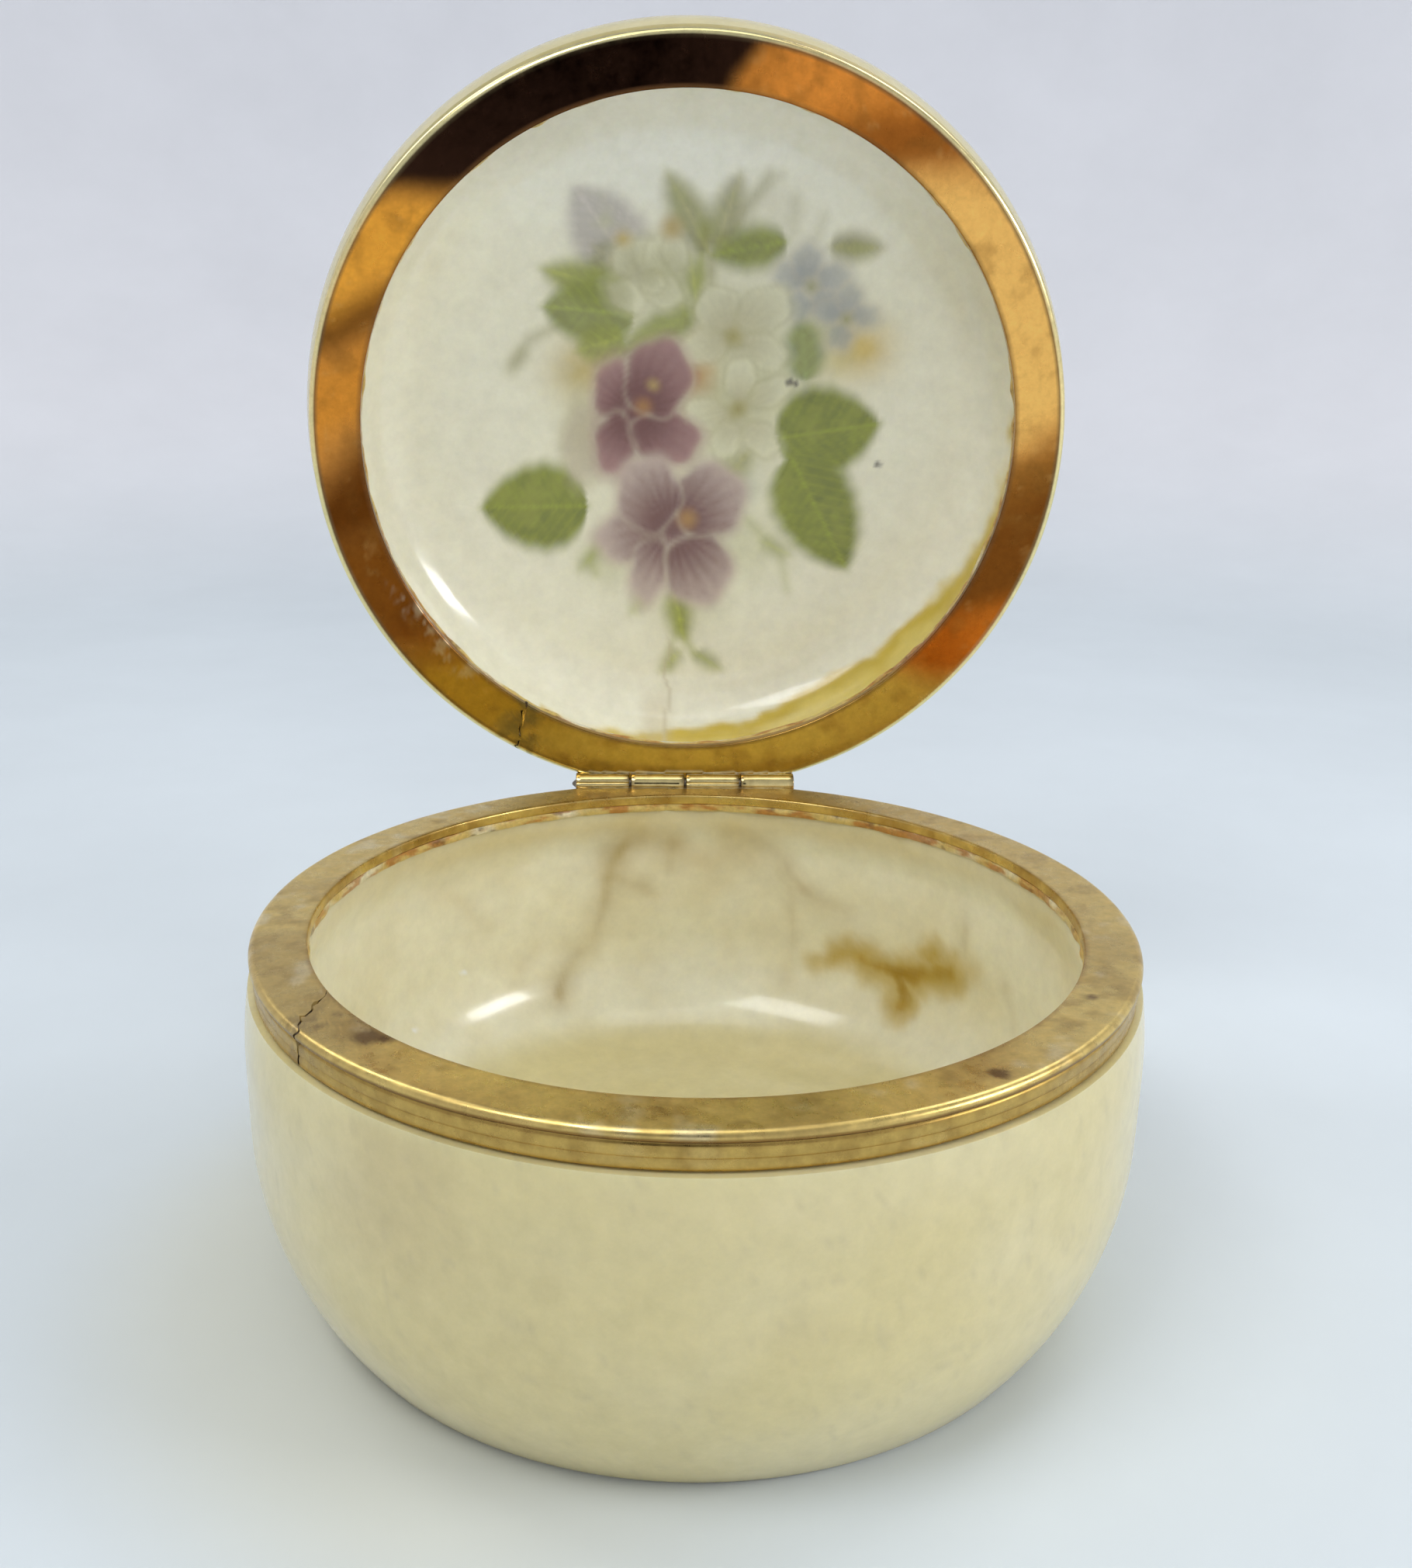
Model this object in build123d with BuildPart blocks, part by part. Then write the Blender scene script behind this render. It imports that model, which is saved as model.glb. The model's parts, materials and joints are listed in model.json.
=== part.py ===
"""Round alabaster trinket box with brass collars and a soldered four-knuckle hinge, shown with its lid open.

The origin is the centre of the bowl's underside, +Z is up, +Y points to the hinge and -Y to the front.
All sizes are in millimetres.
"""

import math
import os

from build123d import *

os.makedirs("parts", exist_ok=True)

# ---------------------------------------------------------------- whole box
bowl_height = 42.2  # underside to the top face of the bowl's collar
closed_gap = 0.2  # between the two collars' faces when the lid is shut
open_angle = 84.0  # from shut to the hinge's stop

# ---------------------------------------------------------------- brass collars
collar_outer_r = 50.0  # over the rounded edge of the flange
flange_edge = 0.8  # width over which the flat face rounds over
bowl_flange_width = 6.3
lid_flange_width = 6.7
flange_thickness = 1.3
flange_inner_edge = 0.2  # rounding of the flange's inner edge
skirt_inset = 0.35  # of the skirt behind the flange's rounded edge
skirt_thickness = 0.8
collar_depth = 4.1  # flange face to the skirt's free edge
seam_width = 0.3  # butt joint of the rolled ring, filled with solder
bowl_seam_angle = -147.0  # from +X, with the hinge at +90
lid_seam_angle = 120.0

# ---------------------------------------------------------------- cement bedding
cement_bed = 1.0  # between the flange and the stone's rim
cement_side = 0.4  # between the skirt and the stone's rim
cement_setback = 0.15  # of the bed behind the flange's inner edge

# ---------------------------------------------------------------- alabaster bowl
bowl_bulge = 1.0  # of the belly beyond the collar
belly_top = 12.0  # depths below the mating plane between which the wall is upright
belly_bottom = 20.0
bowl_shoulder = 0.3  # of the stone beyond the collar where it comes out from under the skirt
foot_inset = 7.5  # of the foot behind the belly
foot_edge = 0.7
lip_setback = 0.35  # of the stone's lip behind the flange's inner edge
bowl_lip_height = 1.2
shoulder_gap = 0.15  # between the skirt's free edge and the stone's shoulder
bowl_wall = 5.7
bowl_wall_start = 9.0  # depth where the cavity's wall turns upright
bowl_cove_r = 14.0
bowl_floor = 7.0  # thickness

# ---------------------------------------------------------------- alabaster lid
lid_height = 21.5  # mating plane to the top of the dome
lid_bulge = 1.6
lid_shoulder = 0.5
lid_corner_r = 9.0
lid_dome_r = 270.0
lid_wall = 6.8
lid_lip_height = 0.5
lid_cove_r = 9.0
lid_crown = 5.5  # thickness of the stone under the dome
lid_centre_flat = 0.5  # radius of the level spot that the lathe leaves at the dome's centre
transfer_r = 37.0
transfer_thickness = 0.12

# ---------------------------------------------------------------- hinge
hinge_inset = 1.0  # of the axis inside the collar's outer edge
knuckle_r = 1.6
knuckle_length = 7.65
knuckle_gap = 0.25
knuckle_chamfer = 0.15
pin_r = 0.8
pin_clearance = 0.05  # radial, in the lid's knuckles; the bowl's knuckles grip the pin
pin_tip = 0.6  # cone that stands out at the left end
pin_recess = 0.3  # of the pin behind the right-hand knuckle's end
channel_clearance = 0.2  # radial, of the slot in the collars round the knuckles
channel_end = 0.25
heel_reach = 0.45  # of the solder heel beyond the knuckles, where it stops the lid
solder_cover = 0.1  # least solder over the back of a knuckle
stop_clearance = 3.3  # degrees left between heel and collar at rest

# ---------------------------------------------------------------- worked out from the sizes above
collar_flat_r = collar_outer_r - flange_edge
skirt_outer_r = collar_outer_r - skirt_inset
bowl_belly_r = collar_outer_r + bowl_bulge
bowl_cavity_r = bowl_belly_r - bowl_wall
foot_r = bowl_belly_r - foot_inset
lid_belly_r = collar_outer_r + lid_bulge
lid_cavity_r = lid_belly_r - lid_wall
hinge_y = collar_outer_r - hinge_inset
axis_z = bowl_height + closed_gap / 2
face_d = closed_gap / 2
flange_under_d = face_d + flange_thickness
skirt_end_d = face_d + collar_depth
rim_d = flange_under_d + cement_bed
shoulder_d = skirt_end_d + shoulder_gap
skirt_inner_r = skirt_outer_r - skirt_thickness
rim_outer_r = skirt_inner_r - cement_side
floor_d = axis_z - bowl_floor
channel_r = knuckle_r + channel_clearance
heel_r = knuckle_r + heel_reach
knuckle_pitch = knuckle_length + knuckle_gap
hinge_length = 4 * knuckle_length + 3 * knuckle_gap
knuckle_x = [knuckle_pitch * (i - 1.5) for i in range(4)]


class Half:
    """One half of the box: a frame on the mating plane, with depth measured into that half."""

    def __init__(self, name, centre, outward, depth, flange_width, seam_angle):
        self.name = name
        self.centre = Vector(*centre)
        self.outward = Vector(*outward)  # from the centre to the hinge
        self.depth = Vector(*depth)  # from the mating plane into this half
        self.flange_inner_r = collar_outer_r - flange_width
        self.seam_angle = seam_angle
        self.axis = Axis(origin=self.centre, direction=self.depth)

    def section(self, angle=0.0):
        """Plane through the half's centre line: sketch X is the radius and sketch Y the depth."""
        a = math.radians(angle)
        radial = Vector(1, 0, 0) * math.cos(a) + self.outward * math.sin(a)
        return Plane(origin=self.centre, x_dir=radial, z_dir=radial.cross(self.depth))

    def hinge(self, x=0.0):
        """Plane square to the hinge axis: sketch X points outward and sketch Y into this half."""
        origin = self.centre + self.outward * hinge_y + Vector(x, 0, 0)
        return Plane(origin=origin, x_dir=self.outward, z_dir=self.outward.cross(self.depth))


opened = math.radians(open_angle)
bowl = Half(
    "bowl", (0, 0, axis_z), (0, 1, 0), (0, 0, -1), bowl_flange_width, bowl_seam_angle
)
lid = Half(
    "lid",
    (0, hinge_y * (1 - math.cos(opened)), axis_z + hinge_y * math.sin(opened)),
    (0, math.cos(opened), -math.sin(opened)),
    (0, math.sin(opened), math.cos(opened)),
    lid_flange_width,
    lid_seam_angle,
)
halves = (bowl, lid)


def save(piece, name):
    piece.part.label = name
    export_step(piece.part, f"parts/{name}.step")


def collar_outline(half):
    """Angle section of a collar: a flat flange with a rounded edge over a plain skirt."""
    with BuildLine() as outline:
        Polyline(
            (skirt_outer_r, flange_under_d),
            (skirt_outer_r, skirt_end_d),
            (skirt_inner_r, skirt_end_d),
            (skirt_inner_r, flange_under_d),
            (half.flange_inner_r, flange_under_d),
            (half.flange_inner_r, face_d),
            (collar_flat_r, face_d),
        )
        ThreePointArc(
            (collar_flat_r, face_d),
            (collar_outer_r, face_d + flange_thickness / 2),
            (skirt_outer_r, flange_under_d),
        )
    make_face(outline.edges())
    fillet(vertices().group_by(Axis.X)[0], radius=flange_inner_edge)


def hinge_channel(half):
    """Round slot that clears the knuckles, cut from whatever is being built."""
    with BuildSketch(half.hinge()) as slot:
        Circle(channel_r)
    extrude(slot.sketch, amount=hinge_length / 2 + channel_end, both=True, mode=Mode.SUBTRACT)


# ================================================================ collars, their seams and their bedding
for half in halves:
    with BuildPart() as seam:
        with BuildSketch(half.section(half.seam_angle)):
            collar_outline(half)
        extrude(amount=seam_width / 2, both=True)
    save(seam, f"{half.name}_collar_seam")

    with BuildPart() as collar:
        with BuildSketch(half.section()):
            collar_outline(half)
        revolve(axis=half.axis)
        hinge_channel(half)
        with BuildSketch(half.section(half.seam_angle)):
            with Locations(((half.flange_inner_r + collar_outer_r) / 2, skirt_end_d / 2)):
                Rectangle(2 * (collar_outer_r - half.flange_inner_r), 2 * collar_depth)
        extrude(amount=seam_width / 2, both=True, mode=Mode.SUBTRACT)
    save(collar, f"{half.name}_collar")

    with BuildPart() as cement:
        with BuildSketch(half.section()):
            with BuildLine():
                Polyline(
                    (half.flange_inner_r + cement_setback, flange_under_d),
                    (skirt_inner_r, flange_under_d),
                    (skirt_inner_r, skirt_end_d),
                    (rim_outer_r, skirt_end_d),
                    (rim_outer_r, rim_d),
                    (half.flange_inner_r + cement_setback, rim_d),
                    close=True,
                )
            make_face()
        revolve(axis=half.axis)
        hinge_channel(half)
    save(cement, f"{half.name}_cement")


# ================================================================ alabaster bowl
with BuildPart() as alabaster_bowl:
    lip_r = bowl.flange_inner_r + lip_setback
    with BuildSketch(bowl.section()):
        with BuildLine():
            # outside: foot, rounded lower wall, upright belly, shoulder and rim
            Line((0, axis_z), (foot_r, axis_z))
            TangentArc((bowl_belly_r, belly_bottom), (foot_r, axis_z), tangent=(0, 1))
            Line((bowl_belly_r, belly_bottom), (bowl_belly_r, belly_top))
            TangentArc((bowl_belly_r, belly_top), (collar_outer_r + bowl_shoulder, shoulder_d), tangent=(0, -1))
            Polyline(
                (collar_outer_r + bowl_shoulder, shoulder_d),
                (rim_outer_r, shoulder_d),
                (rim_outer_r, rim_d),
                (lip_r, rim_d),
                (lip_r, rim_d + bowl_lip_height),
            )
            # inside: lip, wall, cove and floor
            Spline(
                (lip_r, rim_d + bowl_lip_height),
                (bowl_cavity_r, bowl_wall_start),
                tangents=((0, 1), (0, 1)),
            )
            Line((bowl_cavity_r, bowl_wall_start), (bowl_cavity_r, floor_d - bowl_cove_r))
            TangentArc(
                (bowl_cavity_r, floor_d - bowl_cove_r),
                (bowl_cavity_r - bowl_cove_r, floor_d),
                tangent=(0, 1),
            )
            Line((bowl_cavity_r - bowl_cove_r, floor_d), (0, floor_d))
            Line((0, floor_d), (0, axis_z))
        make_face()
        fillet(vertices().sort_by_distance((foot_r, axis_z))[0], radius=foot_edge)
    revolve(axis=bowl.axis)
save(alabaster_bowl, "alabaster_bowl")


# ================================================================ alabaster lid and its printed transfer
dome_centre_d = lid_height - lid_dome_r


def on_dome(dome_r, r):
    """Depth at radius r of the dome with radius dome_r."""
    return dome_centre_d + math.sqrt(dome_r**2 - r**2)


def corner_under_dome(wall_r, wall_start_d, corner_r, dome_r):
    """Depth where an upright wall ends and the point where its corner arc meets the dome.

    The corner is limited by the wall: it leaves off where the wall starts.
    """
    corner_r = min(corner_r, on_dome(dome_r, wall_r) - wall_start_d)
    reach = dome_r - corner_r
    corner_d = dome_centre_d + math.sqrt(reach**2 - (wall_r - corner_r) ** 2)
    share = dome_r / reach
    meet = ((wall_r - corner_r) * share, dome_centre_d + (corner_d - dome_centre_d) * share)
    return corner_d, meet


def crown_line(dome_r, end_r):
    """The level spot at the lid's centre line and the dome's arc from it out to radius end_r."""
    Line((0, on_dome(dome_r, lid_centre_flat)), (lid_centre_flat, on_dome(dome_r, lid_centre_flat)))
    return ThreePointArc(*[(r, on_dome(dome_r, r)) for r in (lid_centre_flat, end_r / 2, end_r)])


with BuildPart() as alabaster_lid:
    lip_r = lid.flange_inner_r + lip_setback
    lip_end_d = rim_d + lid_lip_height
    outer_d, outer_meet = corner_under_dome(lid_belly_r, shoulder_d, lid_corner_r, lid_dome_r)
    ceiling_r = lid_dome_r - lid_crown
    inner_d, inner_meet = corner_under_dome(lid_cavity_r, lip_end_d, lid_cove_r, ceiling_r)
    with BuildSketch(lid.section()):
        with BuildLine():
            # inside: ceiling, cove, lip and rim
            crown_line(ceiling_r, inner_meet[0])
            TangentArc((lid_cavity_r, inner_d), inner_meet, tangent=(0, 1))
            Spline(
                (lid_cavity_r, inner_d),
                (lip_r, lip_end_d),
                tangents=((0, -1), (0, -1)),
            )
            Polyline(
                (lip_r, lip_end_d),
                (lip_r, rim_d),
                (rim_outer_r, rim_d),
                (rim_outer_r, shoulder_d),
                (collar_outer_r + lid_shoulder, shoulder_d),
            )
            # outside: shoulder, corner and dome
            TangentArc((lid_belly_r, outer_d), (collar_outer_r + lid_shoulder, shoulder_d), tangent=(0, -1))
            TangentArc((lid_belly_r, outer_d), outer_meet, tangent=(0, 1))
            crown_line(lid_dome_r, outer_meet[0])
            Line((0, on_dome(lid_dome_r, lid_centre_flat)), (0, on_dome(ceiling_r, lid_centre_flat)))
        make_face()
    revolve(axis=lid.axis)
save(alabaster_lid, "alabaster_lid")

with BuildPart() as floral_transfer:
    film_r = lid_dome_r + transfer_thickness
    with BuildSketch(lid.section()):
        with BuildLine():
            crown_line(lid_dome_r, transfer_r)
            Line((transfer_r, on_dome(lid_dome_r, transfer_r)), (transfer_r, on_dome(film_r, transfer_r)))
            crown_line(film_r, transfer_r)
            Line((0, on_dome(film_r, lid_centre_flat)), (0, on_dome(lid_dome_r, lid_centre_flat)))
        make_face()
    revolve(axis=lid.axis)
save(floral_transfer, "floral_transfer")


# ================================================================ hinge
# Where a solder heel comes to rest: the free edge of the other half's skirt, at the slot round the knuckles.
skirt_reach = skirt_outer_r - hinge_y
edge_angle = math.degrees(math.acos(skirt_reach / channel_r))
heel_angle = math.radians(open_angle - edge_angle + stop_clearance)
heel = (heel_r * math.cos(heel_angle), heel_r * math.sin(heel_angle))

# The solder's back runs from the heel to the skirt's free edge and clears the knuckle by its cover.
# The outermost knuckle ends stand furthest behind the curved skirt.
cover_r = knuckle_r + solder_cover
cover_angle = heel_angle + math.acos(cover_r / heel_r)
foot_over_cover = (cover_r - skirt_end_d * math.sin(cover_angle)) / math.cos(cover_angle)
skirt_at_end = math.sqrt(skirt_outer_r**2 - (hinge_length / 2) ** 2) - hinge_y
solder_foot = (max(skirt_at_end - skirt_thickness / 2, foot_over_cover), skirt_end_d)

for half in halves:
    with BuildPart() as ring_body:  # everything inside the collar's outline, round the slot
        with BuildSketch(half.section()):
            with BuildLine():
                Polyline((skirt_outer_r, flange_under_d), (skirt_outer_r, 2 * skirt_end_d), (0, 2 * skirt_end_d))
                Polyline((0, 2 * skirt_end_d), (0, face_d), (collar_flat_r, face_d))
                ThreePointArc(
                    (collar_flat_r, face_d),
                    (collar_outer_r, face_d + flange_thickness / 2),
                    (skirt_outer_r, flange_under_d),
                )
            make_face()
        revolve(axis=half.axis)
        hinge_channel(half)

    own = (0, 2) if half is bowl else (1, 3)
    for i in own:
        bore_r = pin_r if half is bowl else pin_r + pin_clearance
        with BuildPart() as knuckle:
            with BuildSketch(half.hinge(knuckle_x[i])):
                Circle(knuckle_r)
            extrude(amount=knuckle_length / 2, both=True)
            chamfer(edges().filter_by(GeomType.CIRCLE), length=knuckle_chamfer)
            with BuildSketch(half.hinge(knuckle_x[i])):
                Circle(bore_r)
            extrude(amount=knuckle_length / 2, both=True, mode=Mode.SUBTRACT)
        save(knuckle, f"{half.name}_knuckle_{i + 1}")

        with BuildPart() as solder:
            with BuildSketch(half.hinge(knuckle_x[i])):
                with BuildLine():
                    Polyline((0, face_d), heel, solder_foot, (solder_foot[0], face_d), close=True)
                make_face()
                Circle(knuckle_r, mode=Mode.SUBTRACT)
            extrude(amount=knuckle_length / 2 - knuckle_chamfer, both=True)
            add(ring_body.part, mode=Mode.SUBTRACT)
        save(solder, f"{half.name}_hinge_solder_{i + 1}")

with BuildPart() as hinge_pin:
    pin_left = -hinge_length / 2
    pin_right = hinge_length / 2 - pin_recess
    with BuildSketch(Plane(origin=(0, hinge_y, axis_z), x_dir=(1, 0, 0), z_dir=(0, -1, 0))):
        with BuildLine():
            Polyline(
                (pin_left - pin_tip, 0),
                (pin_left, pin_r),
                (pin_right, pin_r),
                (pin_right, 0),
                close=True,
            )
        make_face()
    revolve(axis=Axis((0, hinge_y, axis_z), (1, 0, 0)))
save(hinge_pin, "hinge_pin")
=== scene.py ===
"""Looks of a round alabaster trinket box with brass collars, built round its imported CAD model.

Lengths are in millimetres until a mesh is made. Each half of the box has its own frame: x is the world's X,
v runs from the half's centre towards the hinge, and d is the depth from the mating plane into that half.
Angles round a half are in degrees from +x towards +v, so the hinge is at 90.
"""

import json
import math

import bpy
import numpy as np
from mathutils import Euler, Matrix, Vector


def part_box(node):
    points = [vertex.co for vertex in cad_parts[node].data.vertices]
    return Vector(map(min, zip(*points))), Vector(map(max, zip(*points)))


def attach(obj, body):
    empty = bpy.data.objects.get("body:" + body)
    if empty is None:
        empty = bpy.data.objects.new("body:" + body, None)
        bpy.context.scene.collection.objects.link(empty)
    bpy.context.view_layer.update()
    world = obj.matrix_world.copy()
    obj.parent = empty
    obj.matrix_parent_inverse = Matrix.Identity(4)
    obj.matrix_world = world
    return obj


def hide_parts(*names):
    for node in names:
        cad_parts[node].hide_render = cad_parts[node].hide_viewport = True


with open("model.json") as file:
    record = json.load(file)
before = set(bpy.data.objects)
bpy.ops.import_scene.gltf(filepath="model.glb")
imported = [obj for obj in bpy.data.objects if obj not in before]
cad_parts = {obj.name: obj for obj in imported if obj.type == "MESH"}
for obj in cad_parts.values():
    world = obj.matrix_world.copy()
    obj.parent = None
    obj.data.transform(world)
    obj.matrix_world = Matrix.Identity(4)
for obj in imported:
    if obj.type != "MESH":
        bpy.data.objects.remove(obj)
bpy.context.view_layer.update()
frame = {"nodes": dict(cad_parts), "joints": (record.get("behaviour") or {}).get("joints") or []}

MM = 0.001

# ---------------------------------------------------------------- sizes read from the frame
hinge_joint = frame["joints"][0]
hinge_y, axis_z = (1000 * c for c in hinge_joint["pos_m"][1:])
open_angle = math.radians(hinge_joint["range_deg"][1])
collar_r = 1000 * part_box("bowl_collar")[1].x
bowl_top = 1000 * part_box("bowl_collar")[1].z
bowl_belly_r = 1000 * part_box("alabaster_bowl")[1].x
lid_belly_r = 1000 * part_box("alabaster_lid")[1].x
knuckle_length = 1000 * (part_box("bowl_knuckle_1")[1].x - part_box("bowl_knuckle_1")[0].x)
knuckle_r = 500 * (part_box("bowl_knuckle_1")[1].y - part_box("bowl_knuckle_1")[0].y)
pin_r = 500 * (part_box("hinge_pin")[1].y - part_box("hinge_pin")[0].y)
face_d = axis_z - bowl_top

# ---------------------------------------------------------------- sizes of the sections, as in the CAD model
flange_edge = 0.8
flange_thickness = 1.3
flange_inner_r = {"bowl": collar_r - 6.3, "lid": collar_r - 6.7}
skirt_r = collar_r - 0.35
skirt_thickness = 0.8
skirt_end_d = face_d + 4.1
under_d = face_d + flange_thickness
rim_d = under_d + 1.0
rim_r = skirt_r - skirt_thickness - 0.4
shoulder_d = skirt_end_d + 0.15
crease_d = 2.9
lip_setback = 0.35
belly_d = (12.0, 20.0)
bowl_lip_end_d = 9.0
bowl_cavity_r = bowl_belly_r - 5.7
bowl_floor_d = axis_z - 7.0
bowl_cove_r = 14.0
foot_r = bowl_belly_r - 7.5
foot_round = 0.7
foot_hollow = 0.5
lid_height = 21.5
lid_dome_r = 270.0
lid_crown = 5.5
lid_corner_r = 9.0
lid_cove_r = 9.0
lid_cavity_r = lid_belly_r - 6.8
channel_r = knuckle_r + 0.2
seam_angle = {"bowl": -147.0, "lid": 120.0}
print_r = 37.0


# ================================================================ the two halves' frames
class Half:
    """One half of the box: turns its own (x, v, d) points in millimetres into the frame's metres."""

    def __init__(self, name, centre, outward, depth):
        self.name = name
        self.centre = np.array(centre, float)
        self.axes = np.array([(1, 0, 0), outward, depth], float)

    def to_frame(self, points):
        return (self.centre + np.asarray(points) @ self.axes) * MM


sin_open, cos_open = math.sin(open_angle), math.cos(open_angle)
bowl = Half("bowl", (0, 0, axis_z), (0, 1, 0), (0, 0, -1))
lid = Half(
    "lid",
    (0, hinge_y * (1 - cos_open), axis_z + hinge_y * sin_open),
    (0, cos_open, -sin_open),
    (0, sin_open, cos_open),
)


# ================================================================ numbers: noise, blending and distances
LATTICE = np.random.default_rng(11).random((32, 32, 32))


def noise(points, size, seed=0.0, octaves=3):
    """Smooth value noise from 0 to 1 with features of about `size` millimetres."""
    total = np.zeros(len(points))
    weight, weights = 1.0, 0.0
    for octave in range(octaves):
        q = points * (2**octave / size) + seed * 3.17 + octave * 5.3
        cell = np.floor(q).astype(int)
        f = q - cell
        f = f * f * (3 - 2 * f)
        value = np.zeros(len(points))
        for corner in np.ndindex(2, 2, 2):
            share = np.prod(np.where(corner, f, 1 - f), axis=1)
            i, j, k = ((cell + corner) % 32).T
            value += share * LATTICE[i, j, k]
        total += weight * value
        weights += weight
        weight *= 0.5
    return total / weights


def ramp(low, high, x):
    """0 below low, 1 above high, smooth between; low may be the larger one."""
    t = np.clip((x - low) / (high - low), 0, 1)
    return t * t * (3 - 2 * t)


def tint(colours, colour, amount):
    """colours moved towards colour by amount, which is one number for each point."""
    amount = np.clip(amount, 0, 1)[:, None]
    return colours * (1 - amount) + np.array(colour) * amount


class Coat:
    """The painted colours of a piece's points, each layer laid over the ones before."""

    def __init__(self, points, colour):
        self.points = points
        self.colours = np.ones((len(points), 3)) * colour

    def add(self, colour, amount):
        """Lays a colour on by amount, which is one number for each point, and returns the colours."""
        self.colours = tint(self.colours, colour, amount)
        return self.colours

    def patches(self, colour, amount, size, seed, octaves, low, high):
        """Lays a colour on in patches of about `size` millimetres, where noise runs from low to high."""
        return self.add(colour, amount * ramp(low, high, noise(self.points, size, seed, octaves)))


def to_path(points, path):
    """Distance from each point to a path of straight runs, and how far along the path that is, 0 to 1."""
    path = np.array(path, float)
    runs = path[1:] - path[:-1]
    lengths = np.linalg.norm(runs, axis=1)
    best = np.full(len(points), 1e9)
    along = np.zeros(len(points))
    for start, run, length, before in zip(path[:-1], runs, lengths, np.cumsum(lengths) - lengths):
        t = np.clip((points - start) @ run / length**2, 0, 1)
        distance = np.linalg.norm(points - start - t[:, None] * run, axis=1)
        nearer = distance < best
        best = np.where(nearer, distance, best)
        along = np.where(nearer, (before + t * length) / lengths.sum(), along)
    return best, along


def polar(points):
    """Radius and angle in degrees of (x, v, d) points."""
    return np.hypot(points[:, 0], points[:, 1]), np.degrees(np.arctan2(points[:, 1], points[:, 0]))


def pushed_out(points, amount):
    """Points moved away from the axis by amount millimetres, and less than that close to the axis."""
    r, _ = polar(points)
    points = points.copy()
    points[:, :2] *= (1 + amount / np.maximum(r, 20))[:, None]
    return points


def away_from(points, at):
    return np.linalg.norm(points - np.array(at), axis=1)


def turn_from(angles, centre):
    """Signed difference in degrees between angles and a centre angle, from -180 to 180."""
    return (angles - centre + 180) % 360 - 180


# ================================================================ outlines
class Outline(list):
    """(radius, depth) points of a section, added in runs that each start at the last point."""

    def __init__(self, r, d):
        super().__init__([np.array([r, d], float)])

    def arc(self, direction, end, step=1.0):
        """An arc that leaves the last point along direction and reaches end."""
        start, end = self[-1], np.array(end, float)
        direction = np.array(direction, float) / np.linalg.norm(direction)
        normal = np.array([-direction[1], direction[0]])
        chord = end - start
        radius = chord @ chord / (2 * (chord @ normal))
        centre = start + normal * radius
        turn = 2 * math.atan2(chord @ normal, chord @ direction)
        count = max(3, math.ceil(abs(radius * turn) / step))
        a = turn * np.arange(1, count + 1) / count
        spoke = start - centre
        across = np.array([-spoke[1], spoke[0]])
        self.extend(centre + spoke * math.cos(t) + across * math.sin(t) for t in a)

    def run(self, end, step=1.0, start=None):
        """A straight run to end, from the last point or just after start."""
        start = self[-1] if start is None else np.array(start, float)
        end = np.array(end, float)
        count = max(1, math.ceil(np.linalg.norm(end - start) / step))
        self.extend(start + (end - start) * i / count for i in range(1, count + 1))

    def ease(self, end, step=0.6):
        """A smooth step to end that leaves and arrives along d."""
        start, end = self[-1], np.array(end, float)
        count = max(3, math.ceil(np.linalg.norm(end - start) / step))
        t = np.arange(1, count + 1) / count
        side = t * t * (3 - 2 * t)
        self.extend(start + (end - start) * (s, u) for s, u in zip(side, t))


def on_dome(dome_r, r):
    return lid_height - lid_dome_r + math.sqrt(dome_r**2 - r**2)


def corner_under_dome(wall_r, corner_r, dome_r):
    """Depth where an upright wall ends, and where its corner arc meets the dome."""
    reach = dome_r - corner_r
    dome_centre_d = lid_height - lid_dome_r
    corner_d = dome_centre_d + math.sqrt(reach**2 - (wall_r - corner_r) ** 2)
    share = dome_r / reach
    return corner_d, ((wall_r - corner_r) * share, dome_centre_d + (corner_d - dome_centre_d) * share)


def bowl_outline():
    """The bowl's section, from the middle of the foot up the outside and down to the middle of the floor."""
    lip_r = flange_inner_r["bowl"] + lip_setback
    fine = 0.6
    points = Outline(0, axis_z - foot_hollow)
    points.run((foot_r - 9, axis_z - foot_hollow), 4)
    points.ease((foot_r - 6, axis_z), 1.0)
    points.run((foot_r - foot_round, axis_z), 1.0)
    lower_wall = Outline(bowl_belly_r, belly_d[1])
    lower_wall.arc((0, 1), (foot_r, axis_z))
    points.arc((1, 0), lower_wall[-2], 0.3)
    points += lower_wall[-3:0:-1]
    points.run((bowl_belly_r, belly_d[0]), 1.0, (bowl_belly_r, belly_d[1]))
    points.arc((0, -1), (collar_r + 0.3, shoulder_d))
    points.run((rim_r, shoulder_d), 1)
    points.run((rim_r, rim_d), 1)
    points.run((lip_r, rim_d), 1)
    points.run((lip_r, rim_d + 1.2), 0.4)
    points.ease((bowl_cavity_r, bowl_lip_end_d), fine)
    points.run((bowl_cavity_r, bowl_floor_d - bowl_cove_r), fine)
    points.arc((0, 1), (bowl_cavity_r - bowl_cove_r, bowl_floor_d), fine)
    points.run((0, bowl_floor_d), 0.8)
    return points


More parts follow.
